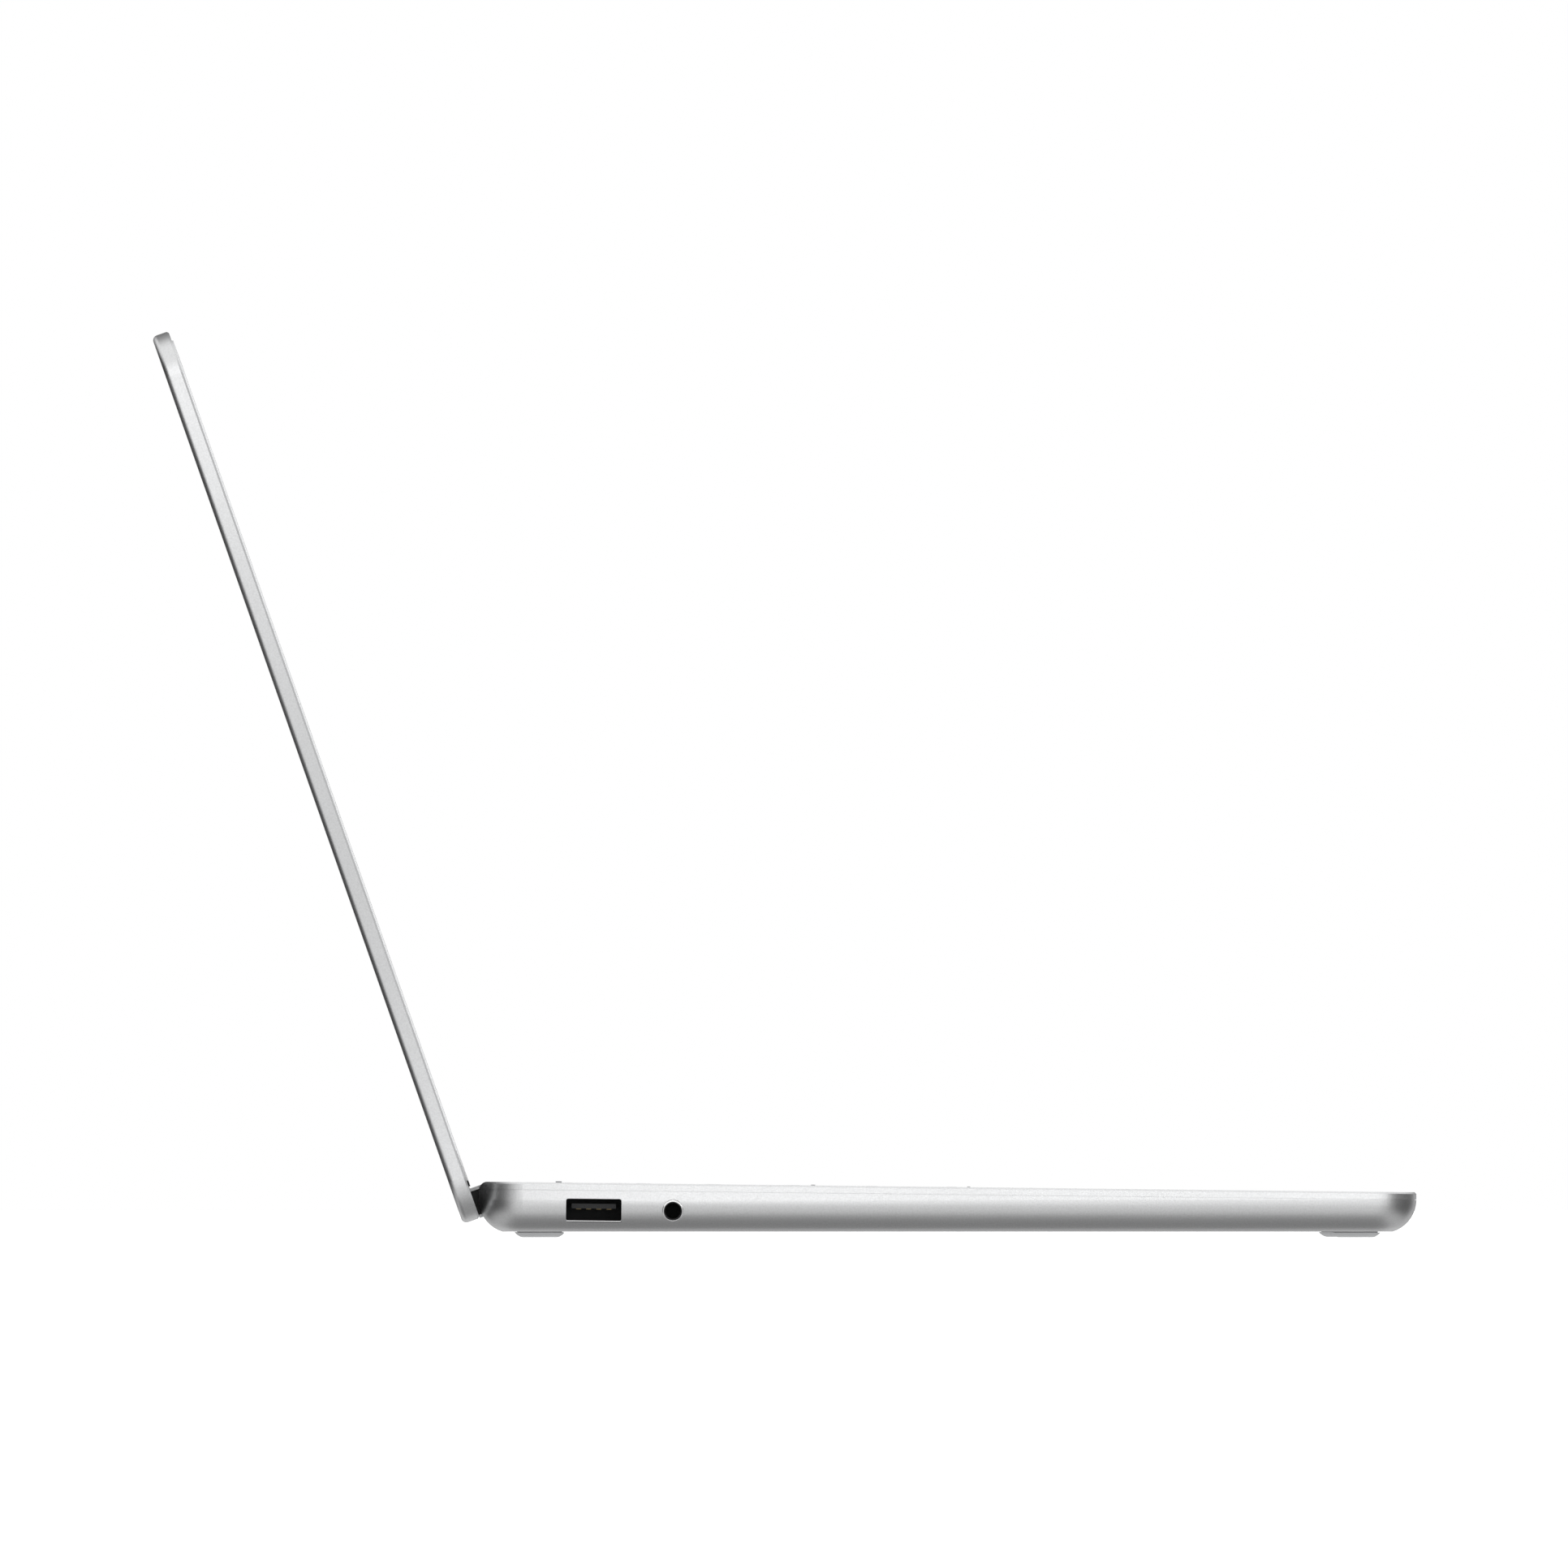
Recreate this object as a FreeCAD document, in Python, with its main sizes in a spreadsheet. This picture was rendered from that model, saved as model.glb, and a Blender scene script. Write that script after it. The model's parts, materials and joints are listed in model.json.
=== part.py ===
import FreeCAD, Part
import math
import os
import Sketcher
from FreeCAD import Rotation, Vector

# A 13-inch notebook computer, open at its usual angle. Millimetres, +Z up, front edge towards -Y,
# left side towards -X, origin under the middle of the whole object on the surface it stands on.
# Three frames are used. LEVEL is the row's own frame. DECK lies in the slightly raised keyboard
# deck: y runs back from the front edge and z is the height above the deck. LID is the lid folded
# shut over its hinge axis: y runs back from the axis and z is the height above it.

doc = FreeCAD.newDocument("notebook_computer")
sheet = doc.addObject("Spreadsheet::Sheet", "sizes")
places = doc.addObject("App::VarSet", "places")
probe = doc.addObject("App::VarSet", "probe")
probe.addProperty("App::PropertyFloat", "reading")

DRIVING_SIZES = (
    ("case_width", 285.6, "left side to right side"),
    ("case_depth", 213.3, "front edge to rear edge of the base"),
    ("case_corner", 10.0, "corner radius seen from above"),
    ("case_wall", 1.2, "side walls of the base"),
    ("foot_height", 1.3, "flat underside above the surface"),
    ("floor_thick", 1.0, "floor of the base"),
    ("front_y", -143.7, "front edge of the base in the row frame"),
    ("deck_height", 10.25, "deck above the surface at the front edge"),
    ("deck_slope", 0.65, "degrees, rising to the rear"),
    ("deck_thick", 1.2, "deck sheet"),
    ("seam_depth", 1.66, "joint between top case and bottom cover below the deck"),
    ("seam_gap", 0.12, "height of the groove along that joint"),
    ("edge_chamfer", 0.4, "bevel round the deck"),
    ("belly_radius", 7.6, "rounding of the underside's edge"),
    ("belly_trim", 0.33, "how far the flat underside cuts into that rounding"),
    ("rear_round", 2.0, "rounding of the deck's rear edge"),
    ("open_angle", 110.0, "degrees from deck to screen as shown"),
    ("hinge_back", 210.4, "hinge axis back from the front edge, along the deck"),
    ("hinge_depth", 3.57, "hinge axis below the deck"),
    ("hinge_half", 107.6, "half length of the hinge bar"),
    ("hinge_barrel", 3.55, "radius of the hinge bar's round edge"),
    ("hinge_skin", 0.75, "wall of the hinge bar"),
    ("pin_radius", 1.0, "hinge pin"),
    ("pin_clearance", 0.05, "radial running clearance of pins and axles"),
    ("notch_half", 108.0, "half length of the recess for the hinge bar"),
    ("notch_radius", 3.9, "inside of that recess round the axis"),
    ("notch_fall", 35.0, "degrees, slope of the recess floor to the rear"),
    ("lid_gap", 0.5, "closed lid above the deck"),
    ("lid_thick", 4.0, "lid shell"),
    ("lid_reach", 210.3, "hinge axis to the lid's free edge"),
    ("lid_wall", 1.0, "back wall of the lid"),
    ("lid_rim", 2.15, "rim of the lid beside the glass"),
    ("lid_round", 1.2, "rounding of the lid's outer edge"),
    ("lid_bevel", 0.4, "bevel of the lid's edge beside the gasket"),
    ("gasket_height", 0.35, "gasket proud of the lid's rim"),
    ("glass_thick", 0.6, "display glass"),
    ("glass_sink", 0.3, "display glass below the lid's rim"),
    ("chin", 5.0, "lower edge of the display glass from the hinge axis"),
    ("key_pitch", 18.2, "spacing of the keys both ways"),
    ("key_gap", 2.4, "space between two keycaps"),
    ("key_corner", 1.2, "corner radius of a keycap"),
    ("key_thick", 1.1, "keycap"),
    ("key_clearance", 0.2, "keycap to the edge of its opening"),
    ("keys_front", 97.6, "front edge of the front row of keys"),
    ("function_depth", 9.0, "front to back of a function key"),
    ("pad_half", 54.0, "half width of the trackpad"),
    ("pad_front", 12.0, "front edge of the trackpad"),
    ("pad_back", 84.0, "rear edge of the trackpad"),
    ("pad_thick", 1.3, "trackpad plate"),
    ("pad_clearance", 0.25, "trackpad to the edge of its opening"),
    ("usb_a_back", 187.1, "middle of the wide USB port from the front edge"),
    ("usb_a_depth", 6.1, "middle of the wide USB port below the deck"),
    ("usb_a_wide", 12.6, "opening of the wide USB port"),
    ("usb_a_high", 5.0, "opening of the wide USB port"),
    ("usb_c_back", 187.1, "middle of the small USB port from the front edge"),
    ("usb_c_wide", 8.94, "opening of the small USB port"),
    ("usb_c_high", 3.2, "opening of the small USB port"),
    ("jack_back", 169.1, "middle of the headphone jack from the front edge"),
    ("jack_depth", 6.15, "middle of the headphone jack below the deck"),
    ("jack_bore", 1.8, "radius for a 3.5 mm plug"),
    ("port_wall", 4.5, "thickened side wall at the ports"),
    ("port_sink", 1.9, "metal shell of the wide port behind the side"),
    ("foot_radius", 5.7, "widest radius of a foot"),
    ("foot_half", 112.0, "feet from the middle, sideways"),
    ("foot_front", 13.6, "front feet from the front edge"),
    ("foot_rear", 199.4, "rear feet from the front edge"),
    ("fan_x", 87.0, "fan axis to the right of the middle"),
    ("fan_back", 170.0, "fan axis from the front edge"),
    ("fan_radius", 21.0, "tips of the fan's blades"),
)

for line, (alias, size, meaning) in enumerate(DRIVING_SIZES, start=1):
    sheet.set(f"A{line}", meaning)
    sheet.set(f"B{line}", str(size))
    sheet.setAlias(f"B{line}", alias)

DERIVED_SIZES = (
    ("side", "sizes.case_width / 2"),
    ("rear_y", "sizes.front_y + sizes.case_depth"),
    ("rear_deck", "sizes.deck_height + sizes.case_depth * tan(sizes.deck_slope)"),
    ("belly_centre", "sizes.foot_height - sizes.belly_trim + sizes.belly_radius"),
    ("floor_top", "sizes.foot_height + sizes.floor_thick"),
    ("hinge_y", "sizes.front_y + sizes.hinge_back * cos(sizes.deck_slope)"
                " + sizes.hinge_depth * sin(sizes.deck_slope)"),
    ("hinge_z", "sizes.deck_height + sizes.hinge_back * sin(sizes.deck_slope)"
                " - sizes.hinge_depth * cos(sizes.deck_slope)"),
    ("lid_inner", "sizes.hinge_depth + sizes.lid_gap"),
    ("lid_outer", "sizes.hinge_depth + sizes.lid_gap + sizes.lid_thick"),
    ("lid_hollow", "sizes.hinge_depth + sizes.lid_gap + sizes.lid_thick - sizes.lid_wall"),
    ("glass_front", "sizes.hinge_depth + sizes.lid_gap + sizes.glass_sink"),
    ("glass_back", "sizes.hinge_depth + sizes.lid_gap + sizes.glass_sink + sizes.glass_thick"),
)


def derive(name, expression):
    places.addProperty("App::PropertyFloat", name)
    places.setExpression(name, expression)


for derived_name, derived_from in DERIVED_SIZES:
    derive(derived_name, derived_from)
doc.recompute()

LEVEL = ("0", "0", "0", "0")
DECK = ("0", "sizes.front_y", "sizes.deck_height", "sizes.deck_slope")
LID = ("0", "places.hinge_y", "places.hinge_z", "(sizes.deck_slope - sizes.open_angle)")

nodes = []


# ---- small helpers -----------------------------------------------------------------------------

def number(expression):
    """The present value of an expression that uses the sheet's names."""
    probe.setExpression("reading", str(expression))
    probe.recompute()
    return probe.reading


def bind(piece, attribute, expression):
    piece.setExpression(attribute, str(expression))


def place(piece, frame, point=("0", "0", "0")):
    """Stand a piece in one of the three frames, with its own origin at a point of that frame."""
    x, y, z = point
    left, back, up, tilt = frame
    piece.Placement.Rotation = Rotation(Vector(1, 0, 0), 1)
    bind(piece, "Placement.Base.x", f"{left} + ({x})")
    bind(piece, "Placement.Base.y", f"{back} + ({y}) * cos({tilt}) - ({z}) * sin({tilt})")
    bind(piece, "Placement.Base.z", f"{up} + ({y}) * sin({tilt}) + ({z}) * cos({tilt})")
    bind(piece, "Placement.Rotation.Angle", tilt)


def keep(piece, label):
    """Make an object one of the sub-parts."""
    piece.Label = label
    nodes.append(piece)
    return piece


def block(name, frame, low, high):
    """A box between two corners of a frame."""
    box = doc.addObject("Part::Box", name)
    for side, start, end in zip(("Length", "Width", "Height"), low, high):
        bind(box, side, f"({end}) - ({start})")
    place(box, frame, low)
    return box


def drum(name, frame, centre, radius, length):
    """A cylinder that stands up from a point of a frame."""
    cylinder = doc.addObject("Part::Cylinder", name)
    bind(cylinder, "Radius", radius)
    bind(cylinder, "Height", length)
    place(cylinder, frame, centre)
    return cylinder


def cone(name, frame, centre, low_radius, high_radius, length):
    taper = doc.addObject("Part::Cone", name)
    bind(taper, "Radius1", low_radius)
    bind(taper, "Radius2", high_radius)
    bind(taper, "Height", length)
    place(taper, frame, centre)
    return taper


def fuse(name, *pieces):
    joined = doc.addObject("Part::MultiFuse", name)
    joined.Shapes = list(pieces)
    return joined


def group(name, *pieces):
    """Separate solids that share one node."""
    bundle = doc.addObject("Part::Compound", name)
    bundle.Links = list(pieces)
    return bundle


def cut(name, base, *tools):
    result = doc.addObject("Part::Cut", name)
    result.Base = base
    result.Tool = tools[0] if len(tools) == 1 else group(f"{name}_tools", *tools)
    return result


def body_in(frame, name):
    body = doc.addObject("PartDesign::Body", name)
    place(body, frame)
    return body


def sketch_on(body, plane, lift):
    """A sketch on one of the body's own origin planes, lifted along the plane's normal."""
    sketch = body.newObject("Sketcher::SketchObject", f"{body.Name}_sketch")
    origin_plane = next(item for item in body.Origin.OriginFeatures if item.Role == plane)
    sketch.AttachmentSupport = [(origin_plane, "")]
    sketch.MapMode = "FlatFace"
    bind(sketch, "AttachmentOffset.Base.z", lift)
    return sketch


def constrain(sketch, constraint, expression):
    """Add a sketch dimension and bind it to the sheet."""
    index = sketch.addConstraint(constraint)
    sketch.setExpression(f"Constraints[{index}]", str(expression))


def outline(sketch, *corners):
    """A closed outline. A third entry of a corner is the radius of an arc from it to the next
    corner, positive where the arc turns left."""
    ends = [(number(corner[0]), number(corner[1])) for corner in corners]
    first = sketch.GeometryCount
    arc_ends = []
    for index, corner in enumerate(corners):
        start = Vector(*ends[index], 0)
        end = Vector(*ends[(index + 1) % len(ends)], 0)
        if len(corner) == 2:
            sketch.addGeometry(Part.LineSegment(start, end))
            arc_ends.append((1, 2))
            continue
        radius = number(corner[2])
        chord = end - start
        left = Vector(-chord.y, chord.x, 0).normalize() * math.copysign(1, radius)
        rise = math.sqrt(max(radius ** 2 - (chord.Length / 2) ** 2, 0))
        centre = (start + end) * 0.5 + left * rise
        circle = Part.Circle(centre, Vector(0, 0, 1), abs(radius))
        turns = [math.atan2(point.y - centre.y, point.x - centre.x) for point in (start, end)]
        if radius < 0:
            turns.reverse()
        sketch.addGeometry(Part.ArcOfCircle(circle, *turns))
        arc_ends.append((1, 2) if radius > 0 else (2, 1))
    for index, corner in enumerate(corners):
        here = first + index
        after = first + (index + 1) % len(corners)
        sketch.addConstraint(Sketcher.Constraint(
            "Coincident", here, arc_ends[index][1], after, arc_ends[after - first][0]))
    for index, corner in enumerate(corners):
        here = first + index
        point = arc_ends[index][0]
        x, y = ends[index]
        constrain(sketch, Sketcher.Constraint("DistanceX", -1, 1, here, point, x), corner[0])
        constrain(sketch, Sketcher.Constraint("DistanceY", -1, 1, here, point, y), corner[1])
        if len(corner) == 3:
            radius = abs(number(corner[2]))
            constrain(sketch, Sketcher.Constraint("Radius", here, radius), f"abs({corner[2]})")


def rectangle(sketch, left, right, low, high, corner="0"):
    """A rectangle, with its corners rounded where a radius is given."""
    if number(corner) == 0:
        outline(sketch, (left, low), (right, low), (right, high), (left, high))
        return
    inner_left, inner_right = f"{left} + ({corner})", f"{right} - ({corner})"
    inner_low, inner_high = f"{low} + ({corner})", f"{high} - ({corner})"
    outline(sketch,
            (inner_left, low), (inner_right, low, corner),
            (right, inner_low), (right, inner_high, corner),
            (inner_right, high), (inner_left, high, corner),
            (left, inner_high), (left, inner_low, corner))


def circle(sketch, x, y, radius):
    index = sketch.addGeometry(Part.Circle(Vector(number(x), number(y), 0), Vector(0, 0, 1), number(radius)))
    constrain(sketch, Sketcher.Constraint("DistanceX", -1, 1, index, 3, number(x)), x)
    constrain(sketch, Sketcher.Constraint("DistanceY", -1, 1, index, 3, number(y)), y)
    constrain(sketch, Sketcher.Constraint("Radius", index, number(radius)), radius)


def pad(body, sketch, length, both_ways=False):
    feature = body.newObject("PartDesign::Pad", f"{body.Name}_pad")
    feature.Profile = sketch
    feature.Midplane = both_ways
    bind(feature, "Length", length)
    return feature


def pocket(body, sketch, length, both_ways=False, upwards=False):
    feature = body.newObject("PartDesign::Pocket", f"{body.Name}_pocket")
    feature.Profile = sketch
    feature.Midplane = both_ways
    feature.Reversed = upwards
    bind(feature, "Length", length)
    return feature


def soften(body, kind, feature, size, chosen):
    """Fillet or chamfer the edges of a feature that a test picks."""
    doc.recompute()
    edges = [f"Edge{index}" for index, edge in enumerate(feature.Shape.Edges, start=1) if chosen(edge)]
    dressing = body.newObject(f"PartDesign::{kind}", f"{body.Name}_{kind.lower()}")
    dressing.Base = (feature, edges)
    bind(dressing, "Radius" if kind == "Fillet" else "Size", size)
    return dressing


def at_height(height):
    """A test for edges that lie at one height of their body's own frame."""
    level = number(height)

    def lies_there(edge):
        heights = [vertex.Point.z for vertex in edge.Vertexes] + [edge.CenterOfMass.z]
        return all(abs(each - level) < 1e-4 for each in heights)
    return lies_there


def plate(name, frame, low, high, draw):
    """A flat piece: an outline seen from above, between two heights."""
    body = body_in(frame, name)
    sketch = sketch_on(body, "XY_Plane", low)
    draw(sketch)
    pad(body, sketch, f"({high}) - ({low})")
    return body


def bar(name, frame, start, end, draw):
    """A piece of one section along X: an outline seen from the right, between two stations."""
    body = body_in(frame, name)
    sketch = sketch_on(body, "YZ_Plane", start)
    draw(sketch)
    pad(body, sketch, f"({end}) - ({start})")
    return body


def repeat(body, axis, spacing, count):
    """Repeat a body's shape along its sketch's H_Axis or V_Axis."""
    sketch = next(item for item in body.Group if item.isDerivedFrom("Sketcher::SketchObject"))
    pattern = body.newObject("PartDesign::LinearPattern", f"{body.Name}_pattern")
    pattern.TransformMode = "Whole shape"
    pattern.Direction = (sketch, [axis])
    pattern.Mode = "Spacing"
    bind(pattern, "Offset", spacing)
    pattern.Occurrences = count
    body.Tip = pattern
    return body


def deck_level(back, depth="0"):
    """Height above the surface of a point of the deck frame, as an expression."""
    return f"(sizes.deck_height + ({back}) * tan(sizes.deck_slope) - ({depth}))"


# ---- the base's outside and inside -------------------------------------------------------------

def case_form(name, inset, floor, roof_depth):
    """The base's closed form: rounded plan, rounded belly cut flat underneath, sloping deck."""
    body = body_in(LEVEL, name)
    start = f"(places.belly_centre - sizes.belly_radius + ({inset}))"
    plan = sketch_on(body, "XY_Plane", start)
    rectangle(plan,
              f"-places.side + ({inset})", f"places.side - ({inset})",
              f"sizes.front_y + ({inset})", f"places.rear_y - ({inset})",
              f"(sizes.case_corner - ({inset}))")
    walls = pad(body, plan, "2 * sizes.deck_height")
    soften(body, "Fillet", walls, f"sizes.belly_radius - ({inset})", at_height(start))
    underside = sketch_on(body, "XY_Plane", floor)
    rectangle(underside, "-places.side", "places.side", "sizes.front_y", "places.rear_y")
    pocket(body, underside, "sizes.belly_radius")
    above = sketch_on(body, "YZ_Plane", "0")
    front_deck = f"(sizes.deck_height - ({roof_depth}))"
    rear_deck = f"(places.rear_deck - ({roof_depth}))"
    outline(above,
            ("sizes.front_y", front_deck), ("places.rear_y", rear_deck),
            ("places.rear_y", "3 * sizes.deck_height"), ("sizes.front_y", "3 * sizes.deck_height"))
    return body, pocket(body, above, "sizes.case_width", both_ways=True)


def outside_of_base():
    """The outer form, bevelled round the deck and rounded along the deck's rear edge."""
    body, sloped = case_form("base_outside", "0", "sizes.foot_height", "0")
    tilt = math.radians(number("sizes.deck_slope"))
    normal = Vector(0, -math.sin(tilt), math.cos(tilt))
    corner = Vector(0, number("sizes.front_y"), number("sizes.deck_height"))

    def on_deck(edge):
        points = [vertex.Point for vertex in edge.Vertexes] + [edge.CenterOfMass]
        return all(abs((point - corner).dot(normal)) < 1e-3 for point in points)

    soften(body, "Chamfer", sloped, "sizes.edge_chamfer", on_deck)
    rear = sketch_on(body, "YZ_Plane", "0")
    outline(rear,
            ("places.rear_y - sizes.rear_round", "places.rear_deck", "-sizes.rear_round"),
            ("places.rear_y", "places.rear_deck - sizes.rear_round"),
            ("places.rear_y + sizes.rear_round", "places.rear_deck - sizes.rear_round"),
            ("places.rear_y + sizes.rear_round", "places.rear_deck + sizes.rear_round"),
            ("places.rear_y - sizes.rear_round", "places.rear_deck + sizes.rear_round"))
    pocket(body, rear, "sizes.case_width", both_ways=True)
    return body


def hinge_notch(name, wall):
    """The recess that the hinge bar turns in, or that recess with its wall round it."""
    radius = f"(sizes.notch_radius + ({wall}))"
    reach = "2 * sizes.case_corner"
    corner_y = f"(sizes.hinge_back - {radius} * sin(sizes.notch_fall))"
    corner_z = f"(-sizes.hinge_depth - {radius} * cos(sizes.notch_fall))"
    rear_y = f"(sizes.hinge_back + {reach})"
    rear_z = f"({corner_z} - ({rear_y} - {corner_y}) * tan(sizes.notch_fall))"

    def draw(sketch):
        outline(sketch,
                (f"sizes.hinge_back - {radius}", "sizes.case_corner"),
                (f"sizes.hinge_back - {radius}", "-sizes.hinge_depth", radius),
                (corner_y, corner_z), (rear_y, rear_z), (rear_y, "sizes.case_corner"))

    half = f"(sizes.notch_half + ({wall}))"
    return bar(name, DECK, f"-{half}", half, draw)


FAR = "200"
KEY_ROWS = {"space": 0, "lower": 1, "home": 2, "upper": 3, "number": 4, "function": 5}


def key_outline(row, column, units, grow):
    """The four sides of a keycap, each moved outwards by a clearance."""
    left = f"(({column} - 7.5) * sizes.key_pitch + sizes.key_gap / 2 - ({grow}))"
    right = f"(({column} + {units} - 7.5) * sizes.key_pitch - sizes.key_gap / 2 + ({grow}))"
    front = f"(sizes.keys_front + {KEY_ROWS[row]} * sizes.key_pitch - ({grow}))"
    depth = "sizes.function_depth" if row == "function" else "(sizes.key_pitch - sizes.key_gap)"
    back = f"(sizes.keys_front + {KEY_ROWS[row]} * sizes.key_pitch + {depth} + ({grow}))"
    return left, right, front, back


def keycaps(name, row, column, units=1, count=1):
    """One keycap, or a run of equal ones, flush with the deck and softened round the top."""
    def draw(sketch):
        rectangle(sketch, *key_outline(row, column, units, "0"), "sizes.key_corner")

    body = plate(name, DECK, "-sizes.key_thick", "0", draw)
    soften(body, "Fillet", body.Tip, "0.25", at_height("0"))
    return repeat(body, "H_Axis", "sizes.key_pitch", count) if count > 1 else body


def key_openings(name, row, column, units=1, count=1):
    def draw(sketch):
        sides = key_outline(row, column, units, "sizes.key_clearance")
        rectangle(sketch, *sides, "(sizes.key_corner + sizes.key_clearance)")

    body = plate(name, DECK, "-2 * sizes.deck_thick", "sizes.deck_thick", draw)
    return repeat(body, "H_Axis", "sizes.key_pitch", count) if count > 1 else body


# name, row, first column, width in key units, how many side by side
KEY_RUNS = (
    ("function_run", "function", 0, 1, 13),
    ("power", "function", 13, 1, 1),
    ("delete", "function", 14, 1, 1),
    ("number_run", "number", 0, 1, 13),
    ("backspace", "number", 13, 2, 1),
    ("tab", "upper", 0, 1.5, 1),
    ("upper_run", "upper", 1.5, 1, 12),
    ("backslash", "upper", 13.5, 1.5, 1),
    ("caps_lock", "home", 0, 1.75, 1),
    ("home_run", "home", 1.75, 1, 11),
    ("enter", "home", 12.75, 2.25, 1),
    ("left_shift", "lower", 0, 2.25, 1),
    ("lower_run", "lower", 2.25, 1, 10),
    ("right_shift", "lower", 12.25, 2.75, 1),
    ("left_control", "space", 0, 1.25, 1),
    ("left_modifier_run", "space", 1.25, 1, 2),
    ("left_alternate", "space", 3.25, 1.25, 1),
    ("space_bar", "space", 4.5, 5.5, 1),
    ("right_modifier_run", "space", 10, 1, 2),
    ("arrow_left", "space", 12, 1, 1),
    ("arrow_right", "space", 14, 1, 1),
)

COVER_SCREWS = (
    ("-125", "9.1"), ("-45", "9.1"), ("45", "9.1"), ("125", "9.1"),
    ("-125", "90.5"), ("-45", "90.5"), ("45", "90.5"), ("125", "90.5"),
    ("-50", "201.4"), ("0", "201.4"), ("50", "201.4"),
)
SCREW_RADIUS = "1.0"
SCREW_HOLE = "1.05"
BOSS_RADIUS = "2.3"
HEAD_RADIUS = "1.9"
HEAD_HEIGHT = "0.9"
ARROW_GAP = "1.2"


def half_key_outline(upper, grow):
    """The up and down arrows share one key's place, one behind the other."""
    left, right, front, back = key_outline("space", 13, 1, "0")
    half = f"((sizes.key_pitch - sizes.key_gap - {ARROW_GAP}) / 2)"
    if upper:
        front = f"({back} - {half})"
    else:
        back = f"({front} + {half})"
    return f"({left} - ({grow}))", f"({right} + ({grow}))", f"({front} - ({grow}))", f"({back} + ({grow}))"


def level_y(back):
    """The row frame's y of a place so far back from the front edge."""
    return f"(sizes.front_y + ({back}))"


def base_shells():
    """Top case and bottom cover, split along the seam."""
    outside = outside_of_base()
    inside, _ = case_form("base_inside", "sizes.case_wall", "places.floor_top", "sizes.deck_thick")
    skin, _ = case_form("seam_core", "0.35", "sizes.foot_height", "0")
    notch = hinge_notch("notch", "0")
    notch_wall = hinge_notch("notch_wall", "sizes.case_wall")
    port_walls = []
    for side, start, end, low, high in (
            ("left", "-places.side", "-places.side + sizes.port_wall", "160", "197"),
            ("right", "places.side - sizes.port_wall", "places.side", "179", "196")):
        port_walls.append(block(f"{side}_port_wall", DECK, (start, low, "-12"), (end, high, "0")))
    cavity = cut("cavity", inside, notch_wall, *port_walls)

    above_seam = block("above_seam", DECK, ("-" + FAR, "-20", "-sizes.seam_depth"), (FAR, "240", "30"))
    below_seam = block("below_seam", DECK, ("-" + FAR, "-20", "-30"), (FAR, "240", "-sizes.seam_depth"))
    groove_band = block("groove_band", DECK,
                        ("-" + FAR, "-20", "-sizes.seam_depth - sizes.seam_gap"),
                        (FAR, "240", "-sizes.seam_depth"))
    groove = cut("seam_groove", groove_band, skin)
    pin_way = bar("pin_way", DECK, "-sizes.notch_half - 2 * sizes.case_wall",
                  "sizes.notch_half + 2 * sizes.case_wall",
                  lambda sketch: circle(sketch, "sizes.hinge_back", "-sizes.hinge_depth", "1.25"))

    top_case(outside, below_seam, cavity, notch, pin_way)
    bottom_cover(outside, above_seam, cavity, notch, groove, pin_way)


def top_case(outside, below_seam, cavity, notch, pin_way):
    """The deck sheet with its key and trackpad openings and its screw bosses."""
    openings = [key_openings(f"{run[0]}_opening", *run[1:]) for run in KEY_RUNS]
    for upper in (False, True):
        name = "arrow_up_opening" if upper else "arrow_down_opening"
        openings.append(plate(
            name, DECK, "-2 * sizes.deck_thick", "sizes.deck_thick",
            lambda sketch, upper=upper: rectangle(
                sketch, *half_key_outline(upper, "sizes.key_clearance"),
                "(sizes.key_corner + sizes.key_clearance)")))
    grow = "sizes.pad_clearance"
    openings.append(plate(
        "trackpad_opening", DECK, "-2 * sizes.deck_thick", "sizes.deck_thick",
        lambda sketch: rectangle(
            sketch, f"-sizes.pad_half - {grow}", f"sizes.pad_half + {grow}",
            f"sizes.pad_front - {grow}", f"sizes.pad_back + {grow}", f"(2 + {grow})")))
    for side in ("-1", "1"):
        openings.append(drum(f"microphone_{len(openings)}", DECK,
                             (f"{side} * 9", "202.5", "-2 * sizes.deck_thick"), "0.4",
                             "3 * sizes.deck_thick"))
    sheet_part = cut("top_case_sheet", outside, below_seam, cavity, notch, pin_way, *openings)

    bosses = []
    holes = []
    for index, (x, back) in enumerate(COVER_SCREWS):
        foot = (x, level_y(back), "places.floor_top")
        height = f"{deck_level(back, '1')} - places.floor_top"
        bosses.append(drum(f"boss_{index}", LEVEL, foot, BOSS_RADIUS, height))
        holes.append(drum(f"boss_hole_{index}", LEVEL, foot, SCREW_HOLE, "4.4"))
    case = cut("top_case_form", fuse("top_case_with_bosses", sheet_part, *bosses), *holes)
    keep(case, "top_case")


def slot_row(name, frame, low, high, axis, spacing, count):
    """A row of equal slots through the floor."""
    body = plate(name, frame, low[2], high[2],
                 lambda sketch: rectangle(sketch, low[0], high[0], low[1], high[1], "0.55"))
    return repeat(body, axis, spacing, count)


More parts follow.
